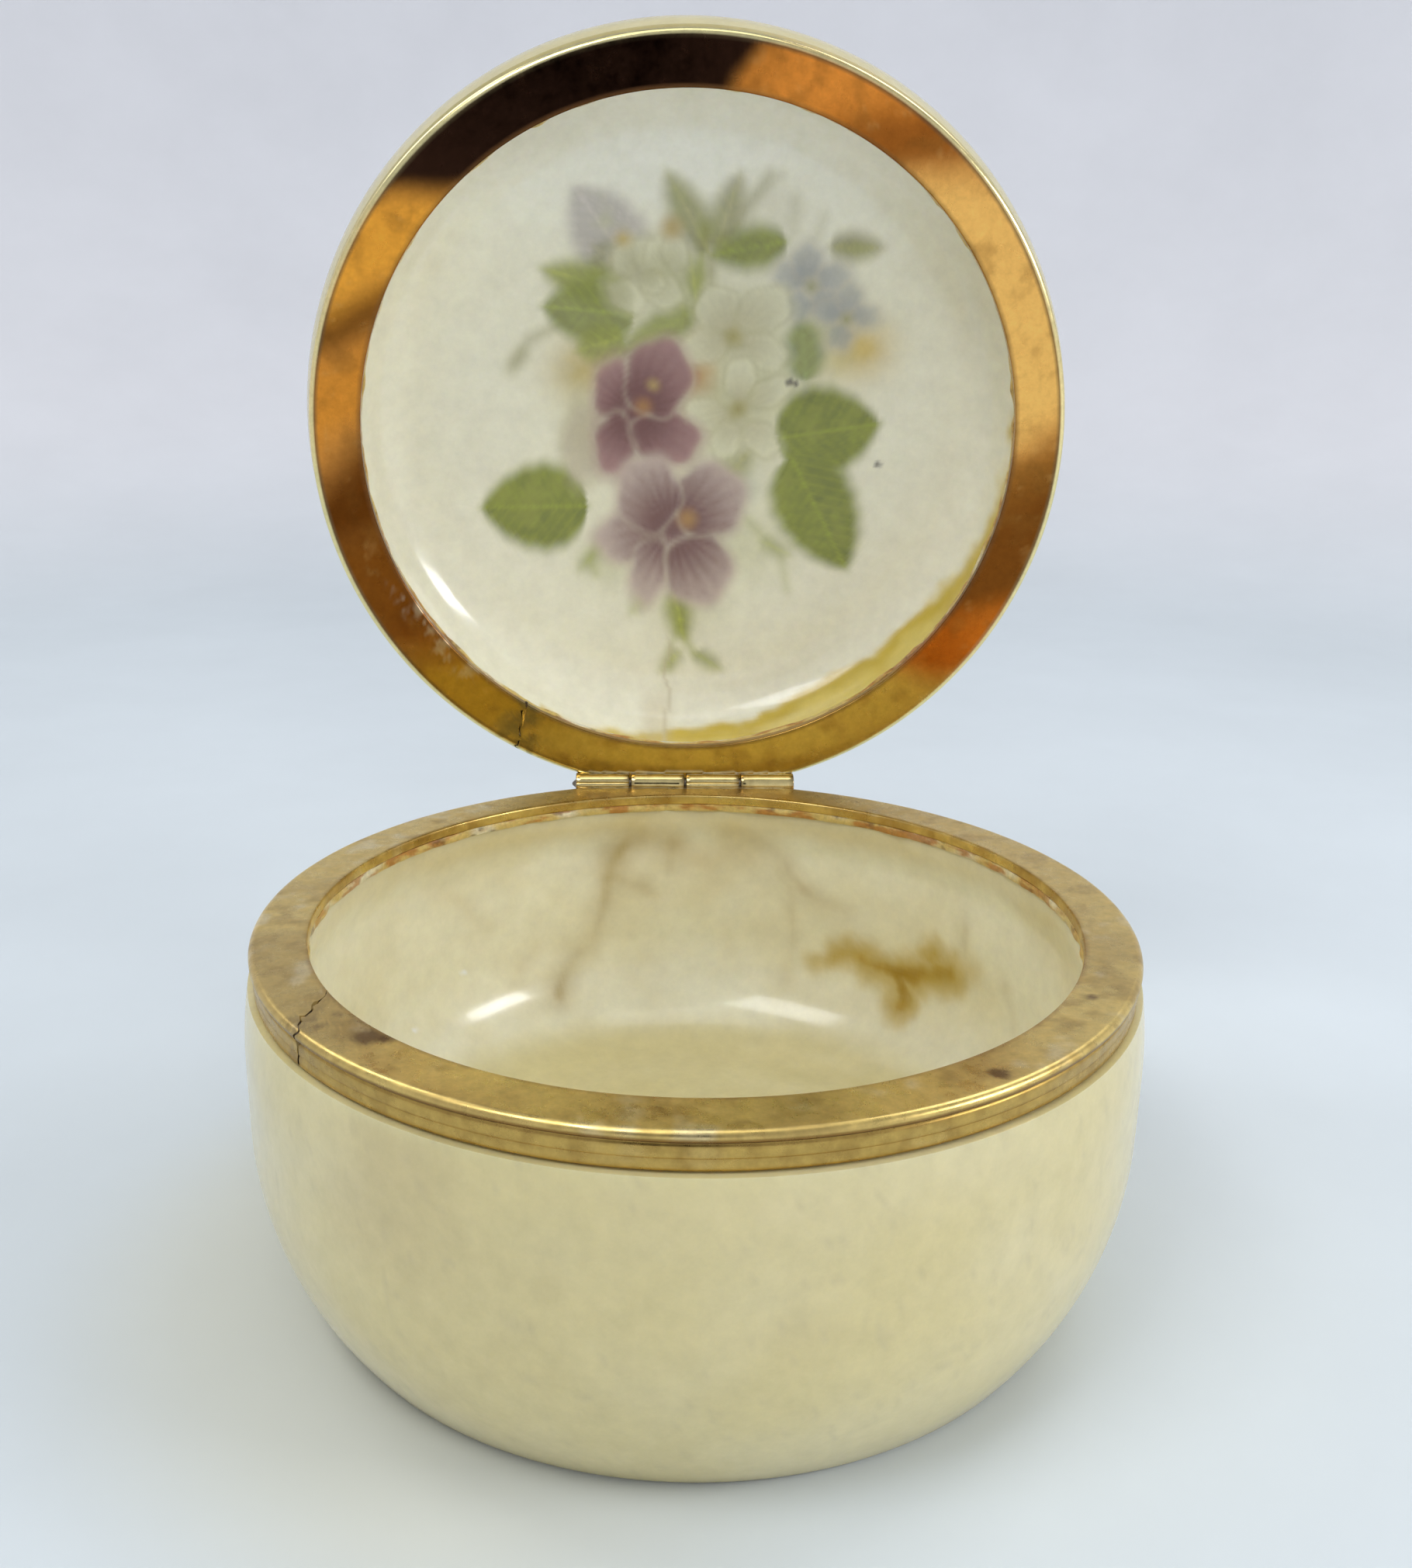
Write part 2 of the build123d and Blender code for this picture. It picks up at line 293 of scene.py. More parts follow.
def lid_outline():
    """The lid's section, from the middle of the dome down the outside and up to the middle of the ceiling."""
    lip_r = flange_inner_r["lid"] + lip_setback
    ceiling_r = lid_dome_r - lid_crown
    outer_d, outer_meet = corner_under_dome(lid_belly_r, lid_corner_r, lid_dome_r)
    inner_d, inner_meet = corner_under_dome(lid_cavity_r, lid_cove_r, ceiling_r)
    # the outer corner leaves the dome a touch flatter than the dome itself runs there
    leave_r = lid_dome_r + 10
    fine = 0.55
    points = Outline(0, lid_height)
    points += [np.array([r, on_dome(lid_dome_r, r)]) for r in np.arange(1.0, outer_meet[0] - 0.5, 1.0)]
    points += [np.array(outer_meet)]
    leave = (outer_meet[1] - lid_height + leave_r, -outer_meet[0])
    points.arc(leave, (lid_belly_r, outer_d))
    points.arc((0, -1), (collar_r + 0.5, shoulder_d))
    points.run((rim_r, shoulder_d), 1)
    points.run((rim_r, rim_d), 1)
    points.run((lip_r, rim_d), 1)
    points.run((lip_r, rim_d + 0.5), 0.3)
    points.ease((lid_cavity_r, inner_d), 0.4)
    points.arc((0, 1), inner_meet, fine)
    points += [np.array([r, on_dome(ceiling_r, r)]) for r in np.arange(inner_meet[0] - fine, -0.1, -fine)]
    points[-1][0] = 0.0
    return points


def collar_outline(name):
    """A collar's closed section: flat face, rounded edge, groove, and a skirt with a faint crease."""
    inner_r = flange_inner_r[name]
    groove, crease = 0.12, 0.06
    hem_d = skirt_end_d - 0.35
    points = Outline(inner_r + 0.2, face_d)
    points.run((collar_r - flange_edge, face_d), 0.5)
    points.arc((1, 0), (collar_r, face_d + flange_thickness / 2), 0.12)
    points.arc((0, 1), (skirt_r - groove, under_d), 0.12)
    points.ease((skirt_r + 0.05, under_d + 0.35), 0.12)
    points.run((skirt_r + 0.03, crease_d - 0.15), 0.3)
    points += [np.array([skirt_r - crease, crease_d])]
    points.run((skirt_r + 0.02, hem_d), 0.3, (skirt_r + 0.03, crease_d + 0.15))
    points.arc((0, 1), (skirt_r - 0.35, skirt_end_d), 0.12)
    points.run((skirt_r - skirt_thickness, skirt_end_d), 0.4)
    points.run((skirt_r - skirt_thickness, under_d), 1.5)
    points.run((inner_r + 0.2, under_d), 1.5)
    points.arc((-1, 0), (inner_r, under_d - 0.2), 0.15)
    points.run((inner_r, face_d + 0.2), 0.3)
    points.arc((0, -1), (inner_r + 0.2, face_d), 0.15)
    return points[:-1]


def cement_outline(name):
    """Closed section of the bedding that shows between a flange and the stone, with a squeezed-out edge."""
    inner_r = flange_inner_r[name] + 0.15
    points = Outline(inner_r, under_d)
    points.run((skirt_r - skirt_thickness - 0.05, under_d), 1.2)
    points.run((skirt_r - skirt_thickness - 0.05, rim_d), 0.5)
    points.run((inner_r, rim_d), 1.2)
    points.arc((-0.35, -1), (inner_r, under_d), 0.15)
    return points[:-1]


# ================================================================ meshes
def grid_faces(columns, rows, round_columns=True, round_rows=False, ends=()):
    """Faces of points stored column by column; ends are the points that close the first and last rows."""
    faces = []
    for i in range(columns if round_columns else columns - 1):
        here, there = i * rows, (i + 1) % columns * rows
        if len(ends) > 0:
            faces.append((ends[0], here, there))
        for j in range(rows if round_rows else rows - 1):
            k = (j + 1) % rows
            faces.append((here + j, here + k, there + k, there + j))
        if len(ends) > 1:
            faces.append((here + rows - 1, ends[1], there + rows - 1))
    return faces


def flipped(faces):
    return [face[::-1] for face in faces]


def add_paint(mesh, paint):
    """Stores one painted colour for each point of a mesh."""
    colours = np.ones((len(paint), 4), np.float32)
    colours[:, :3] = paint
    mesh.attributes.new("paint", "FLOAT_COLOR", "POINT").data.foreach_set("color", colours.ravel())


def add_object(name, data):
    thing = bpy.data.objects.new(name, data)
    bpy.context.scene.collection.objects.link(thing)
    return thing


def smooth_shade(mesh):
    mesh.shade_smooth()
    mesh.set_sharp_from_angle(angle=math.radians(40))


def make_piece(name, points, faces, half, paint=None):
    """A smooth-shaded mesh from (x, v, d) points, with its painted colours as an attribute."""
    mesh = bpy.data.meshes.new(name)
    mesh.from_pydata(half.to_frame(points).tolist(), [], faces)
    if paint is not None:
        add_paint(mesh, paint)
    mesh.validate()
    smooth_shade(mesh)
    return add_object(name, mesh)


def ring_points(outline, angles, drift=None):
    """Grid of (x, v, d) points: one column of the outline for each angle, in degrees."""
    outline = np.array(outline)
    a = np.radians(angles)[:, None] * np.ones(len(outline))
    if drift is not None:
        a = a + np.radians(drift(angles[:, None], outline[None, :, 0], outline[None, :, 1]))
    r = outline[None, :, 0]
    d = outline[None, :, 1] * np.ones_like(a)
    return np.stack([r * np.cos(a), r * np.sin(a), d], axis=2)


def turned(name, outline, half, count, shape=None, paint=None):
    """A solid of revolution whose outline starts and ends on the axis."""
    angles = np.arange(count) * 360 / count
    grid = ring_points(outline[1:-1], angles)
    rows = grid.shape[1]
    ends = np.array([(0, 0, outline[0][1]), (0, 0, outline[-1][1])])
    points = np.vstack([grid.reshape(-1, 3), ends])
    faces = grid_faces(count, rows, ends=(len(points) - 2, len(points) - 1))
    if half is bowl:
        faces = flipped(faces)
    if shape is not None:
        points = shape(points)
    return make_piece(name, points, faces, half, paint(points) if paint else None)


def hoop(name, outline, half, angles, shape=None, paint=None, drift=None):
    """A ring of a closed section, all round or open between its first and last angle."""
    grid = ring_points(outline, angles, drift)
    count, rows = grid.shape[:2]
    points = grid.reshape(-1, 3)
    whole = abs(angles[-1] - angles[0]) > 359.99
    if whole:
        points = points[: (count - 1) * rows]
        count -= 1
    faces = grid_faces(count, rows, whole, True)
    if not whole:
        faces.append(tuple(range(rows))[::-1])
        faces.append(tuple((count - 1) * rows + j for j in range(rows)))
    if half is lid:
        faces = flipped(faces)
    if shape is not None:
        points = shape(points)
    return make_piece(name, points, faces, half, paint(points) if paint else None)


def cut_channel(piece, half):
    """Cuts the round slot that clears the knuckles out of a collar or its bedding."""
    reach = 2 * knuckle_length + 0.9
    sides = 36
    a = np.radians(np.arange(sides) * 360 / sides)
    ends = [np.stack([np.full(sides, x), hinge_y + channel_r * np.cos(a), channel_r * np.sin(a)], 1)
            for x in (-reach, reach)]
    faces = [tuple(range(sides))[::-1], tuple(range(sides, 2 * sides))]
    faces += [(i, (i + 1) % sides, sides + (i + 1) % sides, sides + i) for i in range(sides)]
    if half is lid:
        faces = flipped(faces)
    cutter = make_piece("cutter", np.vstack(ends), faces, half)
    cut = piece.modifiers.new("channel", "BOOLEAN")
    cut.object = cutter
    cut.operation = "DIFFERENCE"
    cut.solver = "EXACT"
    settled = bpy.data.meshes.new_from_object(piece.evaluated_get(bpy.context.evaluated_depsgraph_get()))
    piece.modifiers.clear()
    piece.data = settled
    smooth_shade(settled)
    bpy.data.objects.remove(cutter)


def finish_piece(piece, material, body, slot, *nodes):
    piece.data.materials.clear()
    piece.data.materials.append(material)
    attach(piece, body)
    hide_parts(*nodes)


# ================================================================ materials
def new_material(name):
    material = bpy.data.materials.new(name)
    material.use_nodes = True
    tree = material.node_tree
    return material, tree, tree.nodes["Principled BSDF"]


def noise_node(tree, size, detail=4.0, roughness=0.6, stretch=None):
    """Noise in the piece's own space with features of about `size` millimetres."""
    place = tree.nodes.new("ShaderNodeTexCoord").outputs["Object"]
    if stretch is not None:
        mapping = tree.nodes.new("ShaderNodeMapping")
        mapping.inputs["Scale"].default_value = stretch
        tree.links.new(place, mapping.inputs["Vector"])
        place = mapping.outputs["Vector"]
    node = tree.nodes.new("ShaderNodeTexNoise")
    node.inputs["Scale"].default_value = 1 / (size * MM)
    node.inputs["Detail"].default_value = detail
    node.inputs["Roughness"].default_value = roughness
    tree.links.new(place, node.inputs["Vector"])
    return node.outputs["Fac"]


def spread(tree, value, low, high, from_low=0.3, from_high=0.7):
    """A noise value stretched from its usual range to low..high."""
    node = tree.nodes.new("ShaderNodeMapRange")
    for socket, number in zip(node.inputs[1:5], (from_low, from_high, low, high)):
        socket.default_value = number
    tree.links.new(value, node.inputs["Value"])
    return node.outputs["Result"]


def painted(tree):
    node = tree.nodes.new("ShaderNodeAttribute")
    node.attribute_name = "paint"
    return node.outputs["Color"]


def shade(tree, colour, value):
    """A colour made lighter or darker by a value near 1."""
    node = tree.nodes.new("ShaderNodeVectorMath")
    node.operation = "SCALE"
    tree.links.new(colour, node.inputs[0])
    tree.links.new(value, node.inputs["Scale"])
    return node.outputs["Vector"]


def mottle(tree, shader, value, low, high):
    """Gives a shader its painted colour, varied by a noise value between low and high."""
    colour = shade(tree, painted(tree), spread(tree, value, low, high))
    tree.links.new(colour, shader.inputs["Base Color"])


def vary_gloss(tree, shader, value, low, high):
    tree.links.new(spread(tree, value, low, high), shader.inputs["Roughness"])


def set_inputs(shader, values):
    for name, value in values.items():
        shader.inputs[name].default_value = value


def bump(tree, shader, height, depth, strength=1.0, under=None):
    """Relief of `depth` millimetres from a height value; under is a bump that lies beneath it."""
    node = tree.nodes.new("ShaderNodeBump")
    node.inputs["Distance"].default_value = depth * MM
    node.inputs["Strength"].default_value = strength
    tree.links.new(height, node.inputs["Height"])
    if under is not None:
        tree.links.new(under, node.inputs["Normal"])
    tree.links.new(node.outputs["Normal"], shader.inputs["Normal"])
    return node.outputs["Normal"]


def stone_material(name, grain=0.06, subsurface=0.35):
    """Waxed alabaster: painted stone with some painted light and shade, a cloudy grain, light that sinks in,
    and a soft gloss.
    """
    material, tree, shader = new_material(name)
    mottle(tree, shader, noise_node(tree, 3.0, 6.0, 0.7), 1 - grain, 1 + grain)
    vary_gloss(tree, shader, noise_node(tree, 9.0), 0.13, 0.24)
    set_inputs(shader, {
        "IOR": 1.52,
        "Subsurface Weight": subsurface,
        "Subsurface Radius": (1.0, 0.85, 0.5),
        "Subsurface Scale": 4 * MM,
        "Coat Weight": 0.25,
        "Coat Roughness": 0.08,
    })
    bump(tree, shader, noise_node(tree, 5.0, 3.0), 0.03)
    return material


def brass_material(name, roughness=(0.16, 0.34), wave=0.02):
    """Brass whose painted colour holds patina and painted reflections, with hairline scratches and slightly
    wavy reflections.
    """
    material, tree, shader = new_material(name)
    mottle(tree, shader, noise_node(tree, 1.2, 6.0, 0.75), 0.86, 1.12)
    set_inputs(shader, {"Metallic": 1.0})
    vary_gloss(tree, shader, noise_node(tree, 2.5, 5.0, 0.7), *roughness)
    waves = bump(tree, shader, noise_node(tree, 7.0, 2.0), wave)
    bump(tree, shader, noise_node(tree, 0.5, 3.0, 0.7, (1.0, 0.16, 1.0)), 0.004, 0.4, waves)
    return material


def cement_material():
    material, tree, shader = new_material("bedding_cement")
    mottle(tree, shader, noise_node(tree, 0.6, 5.0, 0.7), 0.8, 1.2)
    set_inputs(shader, {"Roughness": 0.42, "Subsurface Weight": 0.1, "Subsurface Scale": 1 * MM})
    bump(tree, shader, noise_node(tree, 0.5, 4.0), 0.08)
    return material


def plain_metal(name, dark, light, roughness, grain):
    """Bare metal whose colour runs between two tones."""
    material, tree, shader = new_material(name)
    colours = tree.nodes.new("ShaderNodeValToRGB")
    for element, position, colour in zip(colours.color_ramp.elements, (0.35, 0.65), (dark, light)):
        element.position = position
        element.color = (*colour, 1)
    tree.links.new(noise_node(tree, grain, 5.0, 0.7), colours.inputs["Fac"])
    tree.links.new(colours.outputs["Color"], shader.inputs["Base Color"])
    set_inputs(shader, {"Metallic": 1.0})
    vary_gloss(tree, shader, noise_node(tree, grain), *roughness)
    bump(tree, shader, noise_node(tree, grain / 2, 4.0), 0.03)
    return material


# ================================================================ alabaster
CREAM = (0.72, 0.62, 0.31)
PALE = (0.77, 0.69, 0.43)
# the insides of bowl and lid are painted paler: painted light for the glow that comes through the stone
BOWL_INSIDE_PAINTED_GLOW = (0.89, 0.86, 0.66)
LID_INSIDE_PAINTED_GLOW = (0.93, 0.91, 0.75)
VEIN = (0.44, 0.32, 0.11)


def stone_base(points, pale=0.5):
    """Cream with broad paler clouds and a little fine dust."""
    coat = Coat(points, CREAM)
    coat.patches(PALE, pale, 22.0, 1, 4, 0.35, 0.7)
    coat.patches((0.64, 0.54, 0.27), 0.4, 12.0, 2, 4, 0.55, 0.8)
    coat.patches((0.56, 0.48, 0.28), 0.3, 1.3, 3, 2, 0.68, 0.8)
    return coat


def on_bowl_wall(angle, depth):
    """Point on the inside wall of the bowl."""
    r = bowl_cavity_r
    cove_d = bowl_floor_d - bowl_cove_r
    if depth > cove_d:
        r += math.sqrt(max(0.0, bowl_cove_r**2 - (depth - cove_d) ** 2)) - bowl_cove_r
    a = math.radians(angle)
    return (r * math.cos(a), r * math.sin(a), depth)


# Veins on the inside wall: path as (angle, depth), half-width, colour and strength.
WALL_VEINS = (
    (((100, 4), (101, 8), (103.5, 11.5), (105, 16), (108, 21), (112, 24), (113, 28)), 1.1, VEIN, 0.8),
    (((103, 10), (103.6, 12.5)), 2.2, VEIN, 0.45),
    (((103.5, 12), (98, 14.5), (95, 16.5)), 0.8, VEIN, 0.45),
    (((97, 7), (91, 7.5), (84, 10), (80, 9)), 2.4, (0.58, 0.44, 0.2), 0.5),
    (((92, 7.5), (92.5, 12)), 1.2, VEIN, 0.4),
    (((82, 5), (76, 7.5), (72.5, 9.5), (69, 12), (65, 14), (60, 16), (59.5, 20)), 0.8, VEIN, 0.65),
    (((72.5, 9.5), (70, 17), (69.5, 22), (71, 27)), 0.6, VEIN, 0.3),
    (((38, 9), (36.5, 13), (35, 17)), 0.6, VEIN, 0.35),
    (((24, 18), (23, 20), (21, 23)), 0.5, VEIN, 0.5),
    (((118, 22), (122, 25), (124, 29)), 1.4, (0.66, 0.55, 0.3), 0.35),
    (((138, 9), (132, 12), (128, 17)), 1.4, (0.66, 0.55, 0.3), 0.3),
)
# The iron stain: path as (angle, depth), half-width and strength.
IRON_STAIN = (
    (((60, 22.6), (57, 22.0), (53, 22.3), (49, 23.0)), 1.5, 0.85),
    (((49, 23.0), (45, 22.6), (41.5, 21.8), (38.5, 21.0)), 1.9, 0.9),
    (((43, 21.0), (41.6, 18.4)), 1.3, 0.9),
    (((50, 23.2), (48.3, 25.0), (47.6, 26.8)), 1.5, 0.85),
    (((65, 24.0), (61, 22.6)), 1.2, 0.5),
    (((38, 20.5), (33, 19.3)), 1.5, 0.35),
)


def paint_bowl(points):
    coat = stone_base(points)
    r, _ = polar(points)
    depth = points[:, 2]
    inside = (r < bowl_cavity_r + 0.8) & (depth < bowl_floor_d + 0.5) & (depth > rim_d + 0.2)
    # the inside is painted paler: painted light for the glow that comes through the thin walls
    coat.add(BOWL_INSIDE_PAINTED_GLOW, inside * (0.95 - 0.3 * ramp(0.4, 0.7, noise(points, 14.0, 15, 4))))
    wobble = np.stack([noise(points, 9.0, seed, 3) for seed in (4, 5, 6)], 1) - 0.5
    bent = points + 4.5 * wobble
    broken = 0.35 + 1.1 * (noise(points, 5.0, 7, 4) - 0.1)
    for path, width, colour, strength in WALL_VEINS:
        distance, _ = to_path(bent, [on_bowl_wall(*p) for p in path])
        haze = 0.5 * ramp(4.2 * width, 0.3 * width, distance)
        core = 0.6 * ramp(1.5 * width, 0.0, distance)
        coat.add(colour, inside * strength * broken * (haze + core))
    # the stain soaks out from its paths, deepest where they meet
    soak = np.zeros(len(points))
    for path, width, strength in IRON_STAIN:
        distance, _ = to_path(bent, [on_bowl_wall(*p) for p in path])
        ragged = distance + 2.6 * (noise(points, 2.6, 8, 4) - 0.5)
        soak = np.maximum(soak, strength * ramp(3.4 * width, -0.4 * width, ragged))
    coat.add((0.68, 0.56, 0.26), inside * 0.85 * ramp(0.02, 0.4, soak))
    coat.add((0.5, 0.32, 0.02), inside * 0.9 * ramp(0.25, 0.85, soak))
    coat.add((0.34, 0.18, 0.0), inside * 0.8 * ramp(0.7, 1.0, soak * (0.7 + 0.5 * broken)))
    # the floor is painted a little darker than the wall, and the lip under the collar is stained
    coat.add((0.69, 0.6, 0.29), inside * 0.8 * ramp(bowl_floor_d - 4.3, bowl_floor_d - 0.5, depth))
    lip = inside * ramp(7.5, 3.5, depth + 2.0 * (noise(points, 6.0, 9) - 0.5))
    coat.add((0.62, 0.47, 0.16), 0.55 * lip * ramp(-40, 40, points[:, 1]))
    # painted glints: small white spots where pits catch the light
    for at, at_d, size in ((133, 22.5, 0.35), (146, 27.0, 0.3), (-66, 35.0, 0.3)):
        glint_distance = away_from(points, on_bowl_wall(at, at_d))
        coat.add((0.97, 0.97, 0.95), inside * ramp(size + 0.25, size * 0.5, glint_distance))
    # a soft brown bruise under the collar at the left of the front, and painted shade on the lowest part of
    # the foot and under it, where it sits on the table
    outside = ~inside & (depth > shoulder_d)
    bruise = away_from(bent, (-30, -41, 11))
    coat.add((0.54, 0.42, 0.2), outside * 0.35 * ramp(14, 2, bruise))
    return coat.add((0.46, 0.38, 0.17), outside * 0.5 * ramp(axis_z - 1.8, axis_z, depth))


def shape_bowl(points):
    """The faint unevenness that hand polishing leaves."""
    d = points[:, 2]
    free = ramp(shoulder_d + 1, shoulder_d + 6, d) * ramp(axis_z - 0.1, axis_z - 2.3, d)
    return pushed_out(points, free * 0.12 * (noise(points, 30.0, 10, 1) - 0.5))


# ================================================================ the printed bouquet
# Positions are (x, v) on the lid. Each entry of a list below is one leaf, petal, sprig or wash of colour.
LEAF = (0.245, 0.28, 0.01)
FRESH = (0.33, 0.355, 0.03)
OLIVE = (0.3, 0.28, 0.07)
BLUEGREEN = (0.21, 0.27, 0.08)
LILAC = (0.42, 0.36, 0.36)
WHITE = (0.74, 0.72, 0.5)
PLUM = (0.15, 0.03, 0.03)
MAUVE = (0.17, 0.06, 0.055)
PINK = (0.38, 0.2, 0.19)
PALE_LILAC = (0.56, 0.44, 0.38)
BLUE = (0.33, 0.34, 0.34)
GOLD = (0.62, 0.45, 0.1)
RUST = (0.45, 0.22, 0.05)

# centre, radii, colour, strength
WASHES = (
    ((0, 2), (23, 25), (0.66, 0.62, 0.36), 0.55),
    ((8, -6), (12, 13), (0.48, 0.48, 0.22), 0.75),
    ((-14.5, -7.0), (6, 5), (0.56, 0.43, 0.12), 1.0),
    ((-11, -9), (2.5, 2), RUST, 0.5),
    ((-15, 1), (3.5, 8), (0.5, 0.46, 0.2), 0.45),
    ((1.2, -7.5), (3.2, 5.5), (0.5, 0.25, 0.05), 1.0),
    ((24, -10.5), (5.5, 5.0), (0.68, 0.5, 0.12), 1.0),
    ((20, -8.5), (4, 3), (0.58, 0.5, 0.16), 0.6),
    ((8, 18), (8, 7), (0.5, 0.5, 0.22), 0.45),
    ((-11, 20), (6, 5), (0.48, 0.48, 0.2), 0.5),
    ((0, 27), (7, 5), (0.52, 0.5, 0.26), 0.5),
    ((-4, -20), (10, 6), (0.44, 0.44, 0.2), 0.7),
    ((12, -29), (6, 5), (0.6, 0.56, 0.36), 0.35),
    ((8.5, 9), (3, 4), (0.42, 0.46, 0.4), 0.4),
)
# path, half-width, colour, strength
SPRIGS = (
    (((5, -24), (7.5, -29), (10.5, -33)), 0.45, OLIVE, 0.55),
    (((8, -26), (9, -30), (12, -33)), 0.3, OLIVE, 0.35),
    (((14, -26), (14, -30)), 0.5, OLIVE, 0.25),
    (((17, -25), (18, -28)), 0.4, OLIVE, 0.25),
    (((1, -16), (1.5, -21), (2, -26)), 0.5, FRESH, 0.8),
    (((3, -17), (3, -22), (4.5, -25)), 0.4, OLIVE, 0.7),
    (((-24, -8), (-22, -11), (-18, -13)), 0.6, OLIVE, 0.5),
    (((-24.5, -7), (-23, -9)), 1.0, OLIVE, 0.35),
    (((-1, 24), (-0.5, 30), (1.5, 34)), 0.35, FRESH, 0.7),
    (((-0.5, 29), (-2, 33), (-2, 36)), 0.3, FRESH, 0.55),
    (((-12, 16), (-14, 20), (-13, 22)), 0.35, FRESH, 0.5),
    (((9, 14), (14, 19), (15, 24)), 0.35, FRESH, 0.4),
    (((5, 1), (5, 7), (3, 10)), 0.5, FRESH, 0.4),
)
# base, tip, half-width, colour, strength
LEAVES = (
    ((-7, -19.5), (-15.5, -31), 5.2, LILAC, 0.62),
    ((-7, -19), (-13, -23.5), 4.0, OLIVE, 0.5),
    ((2.5, -23), (-3.2, -33), 2.6, OLIVE, 0.8),
    ((3.5, -23.5), (6.5, -33), 2.3, OLIVE, 0.75),
    ((13, -24.5), (3, -22.5), 3.0, LEAF, 0.95),
    ((19, -24), (26, -24), 1.9, OLIVE, 0.85),
    ((-8, -17), (-20, -20.5), 3.0, FRESH, 0.9),
    ((-7.5, -14.5), (-20, -15.5), 5.0, LEAF, 0.9),
    ((-9, -11.5), (-15.5, -9.5), 3.0, FRESH, 0.8),
    ((1.5, -15.5), (-10, -9), 2.6, LEAF, 0.85),
    ((-0.5, -15), (-5.5, -22), 1.3, FRESH, 0.75),
    ((1, -16.5), (0, -22.5), 1.5, FRESH, 0.7),
    ((16.5, -6), (15.5, -14.5), 2.9, BLUEGREEN, 0.9),
    ((21, -12), (14, -16), 2.0, FRESH, 0.45),
    ((12.8, 2.2), (27.2, -0.3), 6.8, LEAF, 1.0),
    ((15.0, 4.8), (23.6, 20.8), 6.2, LEAF, 1.0),
    ((-14.2, 12.2), (-29.2, 12.3), 6.6, LEAF, 1.0),
    ((5, 8.5), (9.5, 3.5), 2.0, OLIVE, 0.7),
    ((12.5, -5), (8, -4), 1.2, OLIVE, 0.7),
    ((-1.5, 24.5), (0, 32), 2.0, FRESH, 0.85),
    ((-0.5, 33.5), (-3.5, 36.5), 1.0, FRESH, 0.7),
    ((1.8, 33.8), (5.5, 36.2), 1.1, LEAF, 0.8),
    ((-12, 18), (-15.5, 21.5), 1.2, LEAF, 0.6),
    ((11, 17), (15.5, 19), 1.2, FRESH, 0.5),
    ((-5.5, 25), (-8, 28), 1.1, FRESH, 0.5),
)
# heart of the flower, colour at the heart, colour at the rim, strength, and its petals as
# (x, v, half-length, half-width, turn in degrees)
FLOWERS = (
    ((16.7, -18.7), BLUE, (0.48, 0.48, 0.43), 0.8, (
        (13.8, -20, 2.6, 2.2, 20), (16, -22, 2.3, 2.6, 0), (19.6, -20, 2.6, 2.1, -20),
        (18.8, -16.2, 2.4, 2.4, 0), (14.8, -16, 2.4, 2.2, 0),
    )),
    ((21.8, -14.5), BLUE, (0.47, 0.47, 0.4), 0.75, (
        (19.4, -15.5, 2.2, 1.8, 0), (22, -17.3, 2.0, 2.2, 0), (24.3, -15, 2.2, 1.8, 0),
        (21, -12, 2.0, 2.0, 0),
    )),
    ((-7.0, -20.5), (0.58, 0.56, 0.34), WHITE, 0.85, (
        (-8.5, -22, 2.2, 2.6, 20), (-6, -22.6, 1.9, 2.5, -10),
    )),
    ((-3.2, -20.5), (0.58, 0.56, 0.34), WHITE, 0.9, (
        (-4.4, -22.6, 1.9, 2.5, 10), (-2, -22.8, 1.9, 2.6, -15),
    )),
    ((-10.5, -17), (0.56, 0.54, 0.32), WHITE, 0.9, (
        (-8.6, -17, 3.2, 2.2, 25),
    )),
    ((-5.5, -19.5), (0.56, 0.54, 0.32), WHITE, 0.9, (
        (-3.6, -17.8, 3.2, 2.4, 30), (-5, -18.8, 2.0, 1.6, 0),
    )),
    ((6.2, -11.8), (0.56, 0.52, 0.32), WHITE, 0.92, (
        (4, -15.3, 3.4, 3.3, 60), (10.4, -15.4, 4.2, 3.1, -28), (2.2, -10.3, 3.8, 2.5, -15),
        (10.6, -9.8, 3.7, 2.6, 28), (7.3, -7.2, 2.4, 3.6, 0),
    )),
    ((7.2, -1.8), (0.56, 0.52, 0.32), WHITE, 0.9, (
        (7.4, -6, 2.4, 3.3, 5), (11.6, -4.2, 3.4, 2.1, -28), (2.8, -1, 3.6, 2.4, 15),
        (10.6, 2.4, 3.2, 2.3, 45), (5.6, 2.6, 2.2, 3.2, 15),
    )),
    ((-9.0, 3.0), (0.45, 0.36, 0.24), (0.52, 0.44, 0.3), 0.6, (
        (-14.8, 3.5, 3.0, 6.0, 0),
    )),
    ((-7.6, -1.3), PLUM, PINK, 1.0, (
        (-7.6, -0.8, 2.6, 2.6, 0), (-10.5, -4.2, 2.9, 4.8, 8), (-10.1, 3.6, 3.2, 4.9, 0),
        (-2.9, 2.4, 5.3, 4.1, 8), (-4.1, -6.0, 4.9, 5.7, 10),
    )),
    ((-2.0, 15.2), MAUVE, PALE_LILAC, 1.0, (
        (-2.2, 15.4, 3.2, 3.0, 0), (-8.2, 16.8, 5.2, 3.9, 0), (-5.2, 21.6, 3.0, 5.2, 10),
        (2.0, 21.3, 5.2, 5.6, 0), (3.4, 11.2, 5.5, 5.6, 0), (-5.4, 10.4, 4.9, 5.7, 0),
    )),
)
